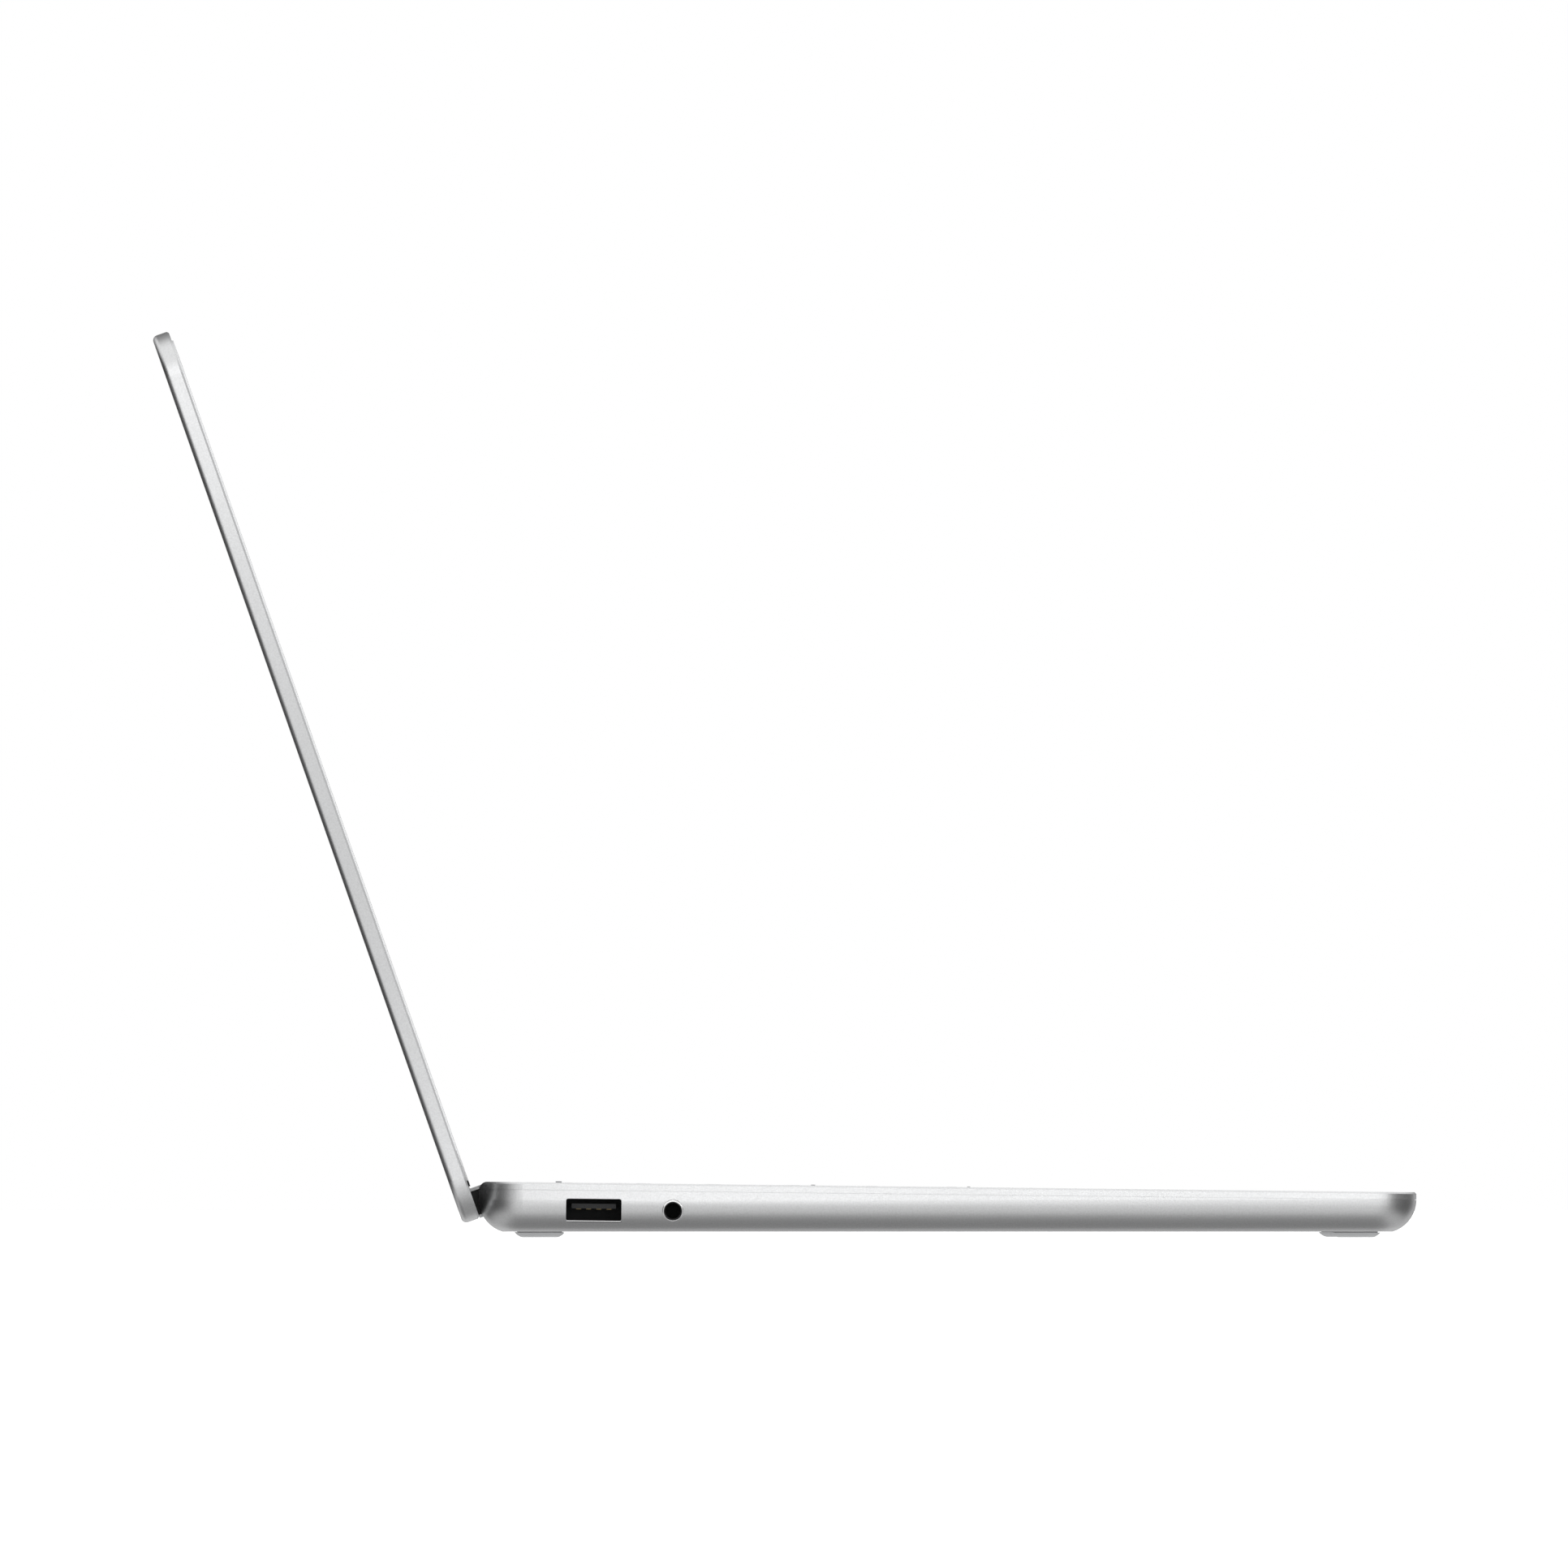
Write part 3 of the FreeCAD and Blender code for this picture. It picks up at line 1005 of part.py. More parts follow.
def lid():
    shell = body_in(LID, "lid_shell")
    plan = sketch_on(shell, "XY_Plane", "places.lid_inner")
    rectangle(plan, "-places.side", "places.side", "-sizes.lid_reach", "sizes.hinge_barrel",
              "sizes.case_corner")
    slab = pad(shell, plan, "sizes.lid_thick")
    rounded = soften(shell, "Fillet", slab, "sizes.lid_round", at_height("places.lid_outer"))
    soften(shell, "Chamfer", rounded, "sizes.lid_bevel", at_height("places.lid_inner"))
    tray = sketch_on(shell, "XY_Plane", "places.lid_inner")
    rectangle(tray, "-places.side + sizes.lid_rim", "places.side - sizes.lid_rim",
              "-sizes.lid_reach + sizes.lid_rim", "-sizes.chin + 0.15",
              "(sizes.case_corner - sizes.lid_rim)")
    pocket(shell, tray, "sizes.lid_thick - sizes.lid_wall", upwards=True)
    ways = [block(f"{name}_way", LID, (low, "-6", "places.lid_inner"), (high, "2", "places.lid_hollow"))
            for name, low, high in (("left_leaf", "-104", "-89"), ("right_leaf", "89", "104"),
                                    ("cable", "28", "52"))]
    keep(cut("lid_shell_open", shell, *ways), "lid_back_cover")

    def ring(sketch):
        for inset in ("0.9", "1.9"):
            rectangle(sketch, f"-places.side + {inset}", f"places.side - {inset}",
                      f"-sizes.lid_reach + {inset} + 1.4", f"-sizes.chin - {inset} + 1.8",
                      f"(sizes.case_corner - {inset})")

    keep(plate("gasket_ring", LID, "places.lid_inner - sizes.gasket_height", "places.lid_inner", ring),
         "lid_gasket")
    edge = "(sizes.lid_rim + 0.15)"
    glass = plate("glass_sheet", LID, "places.glass_front", "places.glass_back",
                  lambda sketch: rectangle(sketch, f"-places.side + {edge}", f"places.side - {edge}",
                                           f"-sizes.lid_reach + {edge}", "-sizes.chin",
                                           f"(sizes.case_corner - {edge})"))
    keep(glass, "display_glass")
    keep(block("panel", LID, ("-138.2", "-198.4", "places.glass_back"), ("138.2", "-12", "6.25")),
         "display_panel")
    module_board = block("camera_board", LID, ("-16", "-206.5", "5.6"), ("16", "-200.5", "6.8"))
    module_case = block("camera_case", LID, ("-3.5", "-206.5", "places.glass_back + 0.05"),
                        ("3.5", "-200.5", "5.7"))
    lens_way = drum("camera_lens_way", LID, ("0", "-203.5", "places.glass_back - 1"), "1.5", "1.6")
    keep(cut("camera_form", fuse("camera_solid", module_board, module_case), lens_way), "camera_module")
    keep(drum("lens", LID, ("0", "-203.5", "places.glass_back + 0.05"), "1.4", "0.5"), "camera_lens")
    strips = [block(f"{side}_antenna", LID, (low, "-206.5", "6.2"), (high, "-200.5", "6.5"))
              for side, low, high in (("left", "-95", "-45"), ("right", "45", "95"))]
    keep(group("antennas", *strips), "wireless_antennas")
    rise = block("cable_rise", LID, ("30", "-0.3", "-1"), ("50", "0", "6.7"))
    run = block("cable_run", LID, ("30", "-16", "6.4"), ("50", "0", "6.7"))
    keep(fuse("cable_form", rise, run), "display_cable")


# ---- build, check and write --------------------------------------------------------------------

base_shells()
ports()
keyboard()
trackpad()
electronics()
battery()
cooling()
sound()
ribbons()
fasteners_and_feet()
hinge()
lid()
doc.recompute()

problems = []
for item in doc.Objects:
    if {"Invalid", "Error"} & set(item.State):
        problems.append(f"{item.Name}: {item.State}")
for node in nodes:
    if node.Shape.isNull() or not node.Shape.isValid() or not node.Shape.Solids:
        problems.append(f"{node.Label}: shape is empty or not valid")
if problems:
    raise RuntimeError("; ".join(problems))

os.makedirs("parts", exist_ok=True)
for node in nodes:
    node.Shape.exportStep(f"parts/{node.Label}.step")
    print(f"{node.Label}: {len(node.Shape.Solids)} solids, {node.Shape.Volume / 1000:.2f} cm3")
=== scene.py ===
import json
import math

import bmesh
import bpy
from mathutils import Matrix, Vector


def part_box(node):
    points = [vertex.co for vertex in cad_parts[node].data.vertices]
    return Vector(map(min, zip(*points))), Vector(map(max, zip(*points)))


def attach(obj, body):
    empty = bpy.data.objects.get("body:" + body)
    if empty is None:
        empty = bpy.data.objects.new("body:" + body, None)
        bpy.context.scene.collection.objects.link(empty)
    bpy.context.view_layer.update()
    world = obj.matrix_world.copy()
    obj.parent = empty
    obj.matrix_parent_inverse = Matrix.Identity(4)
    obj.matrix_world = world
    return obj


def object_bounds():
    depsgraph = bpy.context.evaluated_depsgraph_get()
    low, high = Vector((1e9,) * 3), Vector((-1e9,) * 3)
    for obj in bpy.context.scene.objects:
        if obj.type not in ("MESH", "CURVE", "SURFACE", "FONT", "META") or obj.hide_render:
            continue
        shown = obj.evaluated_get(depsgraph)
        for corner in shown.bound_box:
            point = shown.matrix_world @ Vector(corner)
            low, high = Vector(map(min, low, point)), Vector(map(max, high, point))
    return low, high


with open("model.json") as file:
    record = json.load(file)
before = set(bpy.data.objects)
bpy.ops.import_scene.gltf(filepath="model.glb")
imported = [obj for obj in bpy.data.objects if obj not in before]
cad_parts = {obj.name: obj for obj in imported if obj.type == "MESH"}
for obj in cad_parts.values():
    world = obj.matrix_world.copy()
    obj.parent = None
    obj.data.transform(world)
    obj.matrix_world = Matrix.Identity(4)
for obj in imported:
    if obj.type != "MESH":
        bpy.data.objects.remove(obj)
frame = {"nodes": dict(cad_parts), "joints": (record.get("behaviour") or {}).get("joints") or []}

# Looks of the notebook computer. Everything is in metres in the CAD's own frame. Pieces on the base
# are placed in the deck frame (x, distance back from the front edge, height above the deck), pieces
# on the lid in the lid frame (x, distance from the hinge axis up the lid, distance out from the axis).
# Sizes that the frame doesn't state, such as HINGE_BACK and KEY_PITCH, are those of the CAD model.

MM = 0.001
CAD_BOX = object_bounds()

HINGE = next(joint for joint in frame["joints"] if joint["name"] == "lid_hinge")
KEY_AXIS = Vector(next(joint for joint in frame["joints"] if joint["name"] == "space_bar_press")["axis"])
DECK_TILT = math.atan2(KEY_AXIS.y, -KEY_AXIS.z)
OPEN_ANGLE = math.radians(110)
HINGE_BACK = 210.4 * MM
HINGE_DEPTH = 3.57 * MM
LID_GAP = 0.5 * MM
GLASS_SINK = 0.3 * MM
HALF_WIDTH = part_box("bottom_cover")[1].x

HINGE_POINT = Vector(HINGE["pos_m"])
DECK = (Matrix.Translation(HINGE_POINT) @ Matrix.Rotation(DECK_TILT, 4, "X")
        @ Matrix.Translation((0, -HINGE_BACK, HINGE_DEPTH)))
LID = (Matrix.Translation(HINGE_POINT) @ Matrix.Rotation(DECK_TILT - OPEN_ANGLE, 4, "X")
       @ Matrix.Diagonal((1, -1, 1, 1)))

# The gasket's lowest run, by the hinge, is painted black as shade; this painted shade ends this far up
# the lid, and turns light over this length.
GASKET_SHADE_END = 12.7 * MM
GASKET_SHADE_FADE = 0.4 * MM

KEY_PITCH = 18.2 * MM
KEY_GAP = 2.4 * MM
KEYS_FRONT = 97.6 * MM
FUNCTION_DEPTH = 9.0 * MM
ROW_UNITS = 15
KEY_ROWS = {"space": 0, "lower": 1, "home": 2, "upper": 3, "number": 4, "function": 5}


# ---- materials ---------------------------------------------------------------------------------

BROAD_SCALE = 28.0
NOISE_LOW, NOISE_HIGH = 0.3, 0.7
# The near-black of the painted shade at the lid's chin and at the gasket's foot.
SHADE_BLACK = (0.008, 0.008, 0.009)


def new_material(name):
    material = bpy.data.materials.new(name)
    material.use_nodes = True
    tree = material.node_tree
    shader = tree.nodes["Principled BSDF"]
    return material, tree, shader


def noise(tree, scale, detail):
    """Noise over the piece's own place, with features about 1/scale metres across."""
    where = tree.nodes.new("ShaderNodeTexCoord")
    texture = tree.nodes.new("ShaderNodeTexNoise")
    texture.inputs["Scale"].default_value = scale
    texture.inputs["Detail"].default_value = detail
    tree.links.new(where.outputs["Object"], texture.inputs["Vector"])
    return texture


def ramp(tree, source, low, high):
    """Spread a noise signal between two colours or greys."""
    blend = tree.nodes.new("ShaderNodeMapRange")
    blend.data_type = "FLOAT_VECTOR"
    blend.inputs[7].default_value = (NOISE_LOW,) * 3
    blend.inputs[8].default_value = (NOISE_HIGH,) * 3
    blend.inputs[9].default_value = tuple(low)
    blend.inputs[10].default_value = tuple(high)
    tree.links.new(source, blend.inputs[6])
    return blend.outputs[1]


def bump(tree, shader, source, distance):
    """Small relief, as deep as the distance."""
    node = tree.nodes.new("ShaderNodeBump")
    node.inputs["Distance"].default_value = distance
    node.inputs["Strength"].default_value = 1.0
    tree.links.new(source, node.inputs["Height"])
    tree.links.new(node.outputs["Normal"], shader.inputs["Normal"])


def surface(name, colour, metallic, roughness, grain=3000.0, relief=0.004 * MM, mottle=0.04,
            wear=0.05, specular=0.5):
    """A moulded, blasted or painted surface: fine grain, a slight change of tone and of gloss."""
    material, tree, shader = new_material(name)
    shader.inputs["Metallic"].default_value = metallic
    shader.inputs["Specular IOR Level"].default_value = specular
    fine = noise(tree, grain, 2.0)
    broad = noise(tree, BROAD_SCALE, 3.0)
    dark = [channel * (1 - mottle) for channel in colour]
    light = [min(channel * (1 + mottle), 1.0) for channel in colour]
    tree.links.new(ramp(tree, fine.outputs["Fac"], dark, light), shader.inputs["Base Color"])
    low = (roughness - wear,) * 3
    high = (roughness + wear,) * 3
    tree.links.new(ramp(tree, broad.outputs["Fac"], low, high), shader.inputs["Roughness"])
    bump(tree, shader, fine.outputs["Fac"], relief)
    return material


METAL = surface("blasted_metal", (0.80, 0.805, 0.81), 1.0, 0.40, grain=2600.0, relief=0.006 * MM,
                mottle=0.05, wear=0.012)
POLISHED = surface("polished_edge", (0.96, 0.96, 0.965), 1.0, 0.28, grain=4000.0, relief=0.0005 * MM,
                   mottle=0.01)
KEYCAP = surface("keycap", (0.50, 0.505, 0.515), 0.0, 0.52, grain=5200.0, relief=0.006 * MM,
                 mottle=0.03)
TRACKPAD = surface("trackpad_glass", (0.60, 0.605, 0.61), 0.55, 0.36, grain=4200.0,
                   relief=0.0012 * MM, mottle=0.02)
SCREEN = surface("screen_glass", (0.005, 0.005, 0.006), 0.0, 0.06, grain=300.0,
                 relief=0.00005 * MM, mottle=0.05, wear=0.015, specular=0.25)
ACTIVE = surface("display_layer", (0.009, 0.0095, 0.012), 0.0, 0.10, grain=6000.0,
                 relief=0.0001 * MM, mottle=0.12, wear=0.02, specular=0.25)
# The gasket's light grey is partly its own colour and partly a painted highlight: it is made pale enough
# to stand in for the bright line of the lid's rim highlight.
GASKET_WITH_PAINTED_LIGHT = surface("gasket", (0.86, 0.865, 0.87), 0.0, 0.6, grain=3500.0, relief=0.006 * MM,
                 mottle=0.02)
LIGHT_RUBBER = surface("light_rubber", (0.80, 0.805, 0.81), 0.0, 0.6, grain=3500.0)
FOOT = surface("foot_rubber", (0.44, 0.445, 0.45), 0.0, 0.5, grain=3500.0, relief=0.01 * MM)
STEEL = surface("bright_steel", (0.62, 0.62, 0.63), 1.0, 0.26, grain=1800.0, relief=0.003 * MM)
DARK_STEEL = surface("dark_steel", (0.22, 0.22, 0.23), 1.0, 0.38, grain=1800.0, relief=0.004 * MM)
PORT_METAL = surface("shaded_port_metal", (0.03, 0.03, 0.032), 1.0, 0.5, grain=1800.0)
PORT_PLASTIC = surface("port_plastic", (0.035, 0.035, 0.036), 0.0, 0.55, grain=3800.0, specular=0.1)
DARK_PLASTIC = surface("dark_plastic", (0.022, 0.022, 0.024), 0.0, 0.46, grain=3200.0)
JACK_PLASTIC = surface("jack_plastic", (0.010, 0.010, 0.011), 0.0, 0.5, grain=3200.0, specular=0.2)
# Painted shade: a near-black finish for the chin strip, which stands in for the deep shade at the hinge.
CHIN_SHADE_BLACK = surface("chin_shade_black", SHADE_BLACK, 0.0, 0.35, grain=3200.0,
                     relief=0.002 * MM, specular=0.3)
BOARD = surface("circuit_board", (0.012, 0.075, 0.045), 0.0, 0.34, grain=900.0, relief=0.01 * MM,
                mottle=0.25)
CHIP = surface("chip_plastic", (0.025, 0.025, 0.027), 0.0, 0.5, grain=3800.0)
BATTERY = surface("battery_wrap", (0.035, 0.035, 0.038), 0.0, 0.45, grain=700.0, relief=0.02 * MM)
COPPER = surface("copper", (0.86, 0.46, 0.32), 1.0, 0.3, grain=1500.0, relief=0.004 * MM)
# Painted shade: the gold contacts are painted dark, standing in for the shade deep inside the USB port.
SHADED_GOLD = surface("shaded_gold_contact", (0.09, 0.068, 0.035), 1.0, 0.35, grain=2500.0, relief=0.001 * MM)
RIBBON = surface("ribbon_film", (0.42, 0.19, 0.04), 0.0, 0.34, grain=900.0, relief=0.006 * MM)
LENS = surface("lens_glass", (0.01, 0.011, 0.02), 0.0, 0.05, grain=300.0, relief=0.0)
LEGEND = surface("legend_ink", (0.045, 0.045, 0.05), 0.0, 0.5, grain=4000.0, relief=0.002 * MM)

NODE_MATERIALS = {
    METAL: ("bottom_cover", "top_case", "lid_back_cover", "hinge_cover"),
    SCREEN: ("display_glass",),
    TRACKPAD: ("trackpad_plate",),
    GASKET_WITH_PAINTED_LIGHT: ("lid_gasket",),
    LIGHT_RUBBER: ("battery_pads",),
    FOOT: ("feet",),
    PORT_METAL: ("usb_a_shell", "usb_c_shell"),
    STEEL: ("bottom_cover_screws", "hinge_pins", "trackpad_bracket", "board_standoffs"),
    DARK_STEEL: ("keyboard_plate", "hinge_bracket_left", "hinge_bracket_right", "hinge_leaves"),
    PORT_PLASTIC: ("usb_a_tongue", "usb_c_tongue"),
    JACK_PLASTIC: ("audio_jack",),
    DARK_PLASTIC: ("key_membrane", "trackpad_switch", "battery_tray", "fan_housing", "fan_rotor",
                   "speaker_left", "speaker_right", "display_panel", "hinge_end_caps"),
    BOARD: ("motherboard", "solid_state_drive", "wireless_card", "camera_module"),
    CHIP: ("board_chips",),
    BATTERY: ("battery_cells",),
    COPPER: ("heat_pipe", "heat_sink_fins"),
    RIBBON: ("keyboard_ribbon", "trackpad_ribbon", "wireless_antennas", "display_cable"),
    LENS: ("camera_lens",),
    KEYCAP: ("function_keys", "power_key", "number_keys", "backspace_key", "tab_key",
             "upper_letter_keys", "caps_lock_key", "home_letter_keys", "enter_key", "left_shift_key",
             "lower_letter_keys", "right_shift_key", "modifier_keys", "space_bar", "arrow_keys"),
}


def paint_shade_on_gasket_foot():
    """Painted shade: the gasket's lowest run, along the chin, is painted as dark as the chin strip,
    standing in for the deep shade at the hinge.
    """
    tree = GASKET_WITH_PAINTED_LIGHT.node_tree
    colour = tree.nodes["Principled BSDF"].inputs["Base Color"]
    light = colour.links[0].from_socket
    where = tree.nodes.new("ShaderNodeTexCoord")
    split = tree.nodes.new("ShaderNodeSeparateXYZ")
    tree.links.new(where.outputs["Object"], split.inputs[0])
    # Painted shade: black below the shade line, the gasket's own pale colour above it.
    mix = tree.nodes.new("ShaderNodeMix")
    mix.data_type = "RGBA"
    tree.links.new(softly(tree, split.outputs["Z"], GASKET_SHADE_END, GASKET_SHADE_END + GASKET_SHADE_FADE, 0.0, 1.0),
                   mix.inputs[0])
    mix.inputs[6].default_value = (*SHADE_BLACK, 1)
    tree.links.new(light, mix.inputs[7])
    tree.links.new(mix.outputs[2], colour)


def dress_nodes():
    """Give every CAD node its material."""
    for material, names in NODE_MATERIALS.items():
        for name in names:
            for slot in frame["nodes"][name].material_slots:
                slot.material = material


# ---- mesh helpers ------------------------------------------------------------------------------

def new_piece(name, mesh, material, body, place=None):
    """Add a mesh to the scene on a body. Its vertices are moved into place, its object stays put."""
    if place is not None:
        mesh.transform(place)
        if place.determinant() < 0:
            mesh.flip_normals()
    mesh.materials.clear()
    mesh.materials.append(material)
    piece = bpy.data.objects.new(name, mesh)
    bpy.context.collection.objects.link(piece)
    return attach(piece, body)


def mesh_from(name, build):
    """A mesh whose faces the build function makes, all facing out."""
    mesh = bpy.data.meshes.new(name)
    shape = bmesh.new()
    build(shape)
    bmesh.ops.recalc_face_normals(shape, faces=shape.faces)
    shape.to_mesh(mesh)
    shape.free()
    return mesh


def rounded_loop(centre, width, height, corner):
    """Points round a rectangle with rounded corners, in its own flat plane."""
    points = []
    steps = 6
    for quarter in range(4):
        turn = math.radians(90 * quarter)
        sign_x = (1, -1, -1, 1)[quarter]
        sign_y = (1, 1, -1, -1)[quarter]
        middle = (centre[0] + sign_x * (width / 2 - corner),
                  centre[1] + sign_y * (height / 2 - corner))
        for step in range(steps + 1):
            angle = turn + math.radians(90 * step / steps)
            points.append((middle[0] + corner * math.cos(angle),
                           middle[1] + corner * math.sin(angle)))
    return points


def slab(shape, points, low, high):
    """A closed flat solid over an outline of (x, y) points."""
    under = [shape.verts.new((x, y, low)) for x, y in points]
    over = [shape.verts.new((x, y, high)) for x, y in points]
    shape.faces.new(list(reversed(under)))
    shape.faces.new(over)
    count = len(points)
    for index in range(count):
        after = (index + 1) % count
        shape.faces.new((under[index], under[after], over[after], over[index]))


def brick(shape, low, high):
    """A box between two opposite corners."""
    slab(shape, [(low[0], low[1]), (high[0], low[1]), (high[0], high[1]), (low[0], high[1])],
         low[2], high[2])


# ---- key legends -------------------------------------------------------------------------------

LEGEND_THICK = 0.02 * MM
LETTER_HEIGHT = 3.6 * MM
SIGN_HEIGHT = 0.9 * LETTER_HEIGHT
WORD_HEIGHT = 2.3 * MM
SIGN_FRONT = 2.6 * MM
SIGN_BACK = 2.9 * MM
FONT_SCALE = 1.4
ARROW_SIZE = 1.3 * MM
ARROW_SHIFT = 4.25 * MM
POWER_RADIUS = 1.25 * MM
POWER_LINE = 0.3 * MM
POWER_SHIFT = 1.2 * MM
POWER_BAR_START = 0.3 * MM
POWER_BAR_PAST = 0.35 * MM

# body, row, first column, width of each key in units, legends ("" leaves a key blank)
LEGENDS = (
    ("function_keys", "function", 0, 1, ("esc",) + tuple(f"F{n}" for n in range(1, 13))),
    ("function_keys", "function", 14, 1, ("del",)),
    ("number_keys", "number", 0, 1, tuple("`1234567890-=")),
    ("backspace_key", "number", 13, 2, ("backspace",)),
    ("tab_key", "upper", 0, 1.5, ("tab",)),
    ("upper_letter_keys", "upper", 1.5, 1, tuple("QWERTYUIOP[]")),
    ("upper_letter_keys", "upper", 13.5, 1.5, ("\\",)),
    ("caps_lock_key", "home", 0, 1.75, ("caps lock",)),
    ("home_letter_keys", "home", 1.75, 1, tuple("ASDFGHJKL;'")),
    ("enter_key", "home", 12.75, 2.25, ("enter",)),
    ("left_shift_key", "lower", 0, 2.25, ("shift",)),
    ("lower_letter_keys", "lower", 2.25, 1, tuple("ZXCVBNM,./")),
    ("right_shift_key", "lower", 12.25, 2.75, ("shift",)),
    ("modifier_keys", "space", 0, 1.25, ("ctrl",)),
    ("modifier_keys", "space", 1.25, 1, ("fn", "")),
    ("modifier_keys", "space", 3.25, 1.25, ("alt",)),
    ("modifier_keys", "space", 10, 1, ("alt", "ctrl")),
)
UPPER_SIGNS = dict(zip("`1234567890-=[]\\;',./", "~!@#$%^&*()_+{}|:\"<>?"))


def text_mesh(text, height):
    """Letters as a flat mesh, centred on its own origin."""
    curve = bpy.data.curves.new("letters", "FONT")
    curve.body = text
    curve.size = height * FONT_SCALE
    curve.align_x = "CENTER"
    curve.align_y = "CENTER"
    curve.resolution_u = 3
    curve.extrude = LEGEND_THICK / 2
    letters = bpy.data.objects.new("letters", curve)
    bpy.context.collection.objects.link(letters)
    bpy.context.view_layer.update()
    graph = bpy.context.evaluated_depsgraph_get()
    mesh = bpy.data.meshes.new_from_object(letters.evaluated_get(graph))
    bpy.data.objects.remove(letters)
    bpy.data.curves.remove(curve)
    return mesh


def key_middle(row, column, units):
    """The middle of a key's top, as x and distance back."""
    depth = FUNCTION_DEPTH if row == "function" else KEY_PITCH - KEY_GAP
    x = (column + units / 2 - ROW_UNITS / 2) * KEY_PITCH
    return x, KEYS_FRONT + KEY_ROWS[row] * KEY_PITCH + depth / 2


def add_text(shape, text, height, x, back):
    """Add letters to a shape, lying on a key's top."""
    mesh = text_mesh(text, height)
    mesh.transform(Matrix.Translation((x, back, LEGEND_THICK / 2)))
    shape.from_mesh(mesh)
    bpy.data.meshes.remove(mesh)


def arrow(shape, x, back, turn):
    """A small solid triangle that points the way its key moves the cursor."""
    corners = [(math.cos(turn + math.radians(angle)), math.sin(turn + math.radians(angle)))
               for angle in (0, 130, 230)]
    slab(shape, [(x + ARROW_SIZE * a, back + ARROW_SIZE * b) for a, b in corners], 0, LEGEND_THICK)


def ring_and_bar(shape, x, back):
    """The plain on-off sign: an open ring with a bar through the gap."""
    steps = 24
    start, sweep = math.radians(125), math.radians(290)
    sides = []
    for step in range(steps + 1):
        angle = start + sweep * step / steps
        for reach in (POWER_RADIUS - POWER_LINE / 2, POWER_RADIUS + POWER_LINE / 2):
            for height in (0, LEGEND_THICK):
                sides.append(shape.verts.new((x + reach * math.cos(angle),
                                              back + reach * math.sin(angle), height)))
    for step in range(steps):
        a, b = sides[step * 4:step * 4 + 4], sides[step * 4 + 4:step * 4 + 8]
        for i, j in ((0, 1), (1, 3), (3, 2), (2, 0)):
            shape.faces.new((a[i], a[j], b[j], b[i]))
    shape.faces.new((sides[0], sides[2], sides[3], sides[1]))
    end = sides[-4:]
    shape.faces.new((end[0], end[1], end[3], end[2]))
    brick(shape, (x - POWER_LINE / 2, back + POWER_BAR_START, 0),
          (x + POWER_LINE / 2, back + POWER_RADIUS + POWER_BAR_PAST, LEGEND_THICK))


def add_legends():
    """Letters, figures and signs on the keys, as one flat piece on each body of keys."""
    shapes = {}
    for body, row, first, units, words in LEGENDS:
        shape = shapes.setdefault(body, bmesh.new())
        for index, word in enumerate(words):
            if not word:
                continue
            x, back = key_middle(row, first + index * units, units)
            if len(word) == 1 and word in UPPER_SIGNS:
                add_text(shape, word, SIGN_HEIGHT, x, back - SIGN_FRONT)
                add_text(shape, UPPER_SIGNS[word], SIGN_HEIGHT, x, back + SIGN_BACK)
            elif len(word) == 1:
                add_text(shape, word, LETTER_HEIGHT, x, back)
            else:
                add_text(shape, word, WORD_HEIGHT, x, back)
    arrows = shapes.setdefault("arrow_keys", bmesh.new())
    for column, shift, turn in ((12, 0, 180), (14, 0, 0), (13, ARROW_SHIFT, 90),
                                (13, -ARROW_SHIFT, 270)):
        x, back = key_middle("space", column, 1)
        arrow(arrows, x, back + shift, math.radians(turn))
    power = shapes.setdefault("power_key", bmesh.new())
    x, back = key_middle("function", 13, 1)
    ring_and_bar(power, x, back - POWER_SHIFT)
    for body, shape in shapes.items():
        mesh = bpy.data.meshes.new(f"legend_{body}")
        shape.to_mesh(mesh)
        shape.free()
        new_piece(f"legend_{body}", mesh, LEGEND, body, DECK)


# ---- lid details -------------------------------------------------------------------------------

RIM_FRONT = HINGE_DEPTH + LID_GAP
GLASS_FRONT = RIM_FRONT + GLASS_SINK
GLASS_INSET = 2.3 * MM
LID_CORNER = 10 * MM
LID_FOOT = 3.55 * MM
CHIN = 5 * MM
CHIN_INSET = 0.9 * MM
CHIN_GAP = 0.1 * MM
CHIN_HALF_THICK = 0.03 * MM
SCREEN_WIDTH = 274.7 * MM
SCREEN_HEIGHT = 183.1 * MM
SCREEN_LOW = 14.0 * MM
SCREEN_CORNER = 1.2 * MM
SCREEN_RISE = 0.02 * MM
SCREEN_ROOT = 0.05 * MM
CAMERA_UP = 203.5 * MM
CAMERA_LIGHT_X = 7 * MM
DISC_ROOT = 0.1 * MM

# name, x, radius, how far it stands off the glass, material, slot
CAMERA_DISCS = (
    ("camera_window_ring", 0, 2.1 * MM, 0.03 * MM, DARK_PLASTIC, "lens_glass"),
    ("camera_window", 0, 1.5 * MM, 0.05 * MM, LENS, "lens_glass"),
    ("camera_light", CAMERA_LIGHT_X, 0.5 * MM, 0.03 * MM, LIGHT_RUBBER, "gasket"),
)


def arc(centre, radius, start, sweep, steps=8):
    """Points of a round stretch, angles in degrees."""
    angles = [math.radians(start + sweep * step / steps) for step in range(steps + 1)]
    return [(centre[0] + radius * math.cos(angle), centre[1] + radius * math.sin(angle))
            for angle in angles]


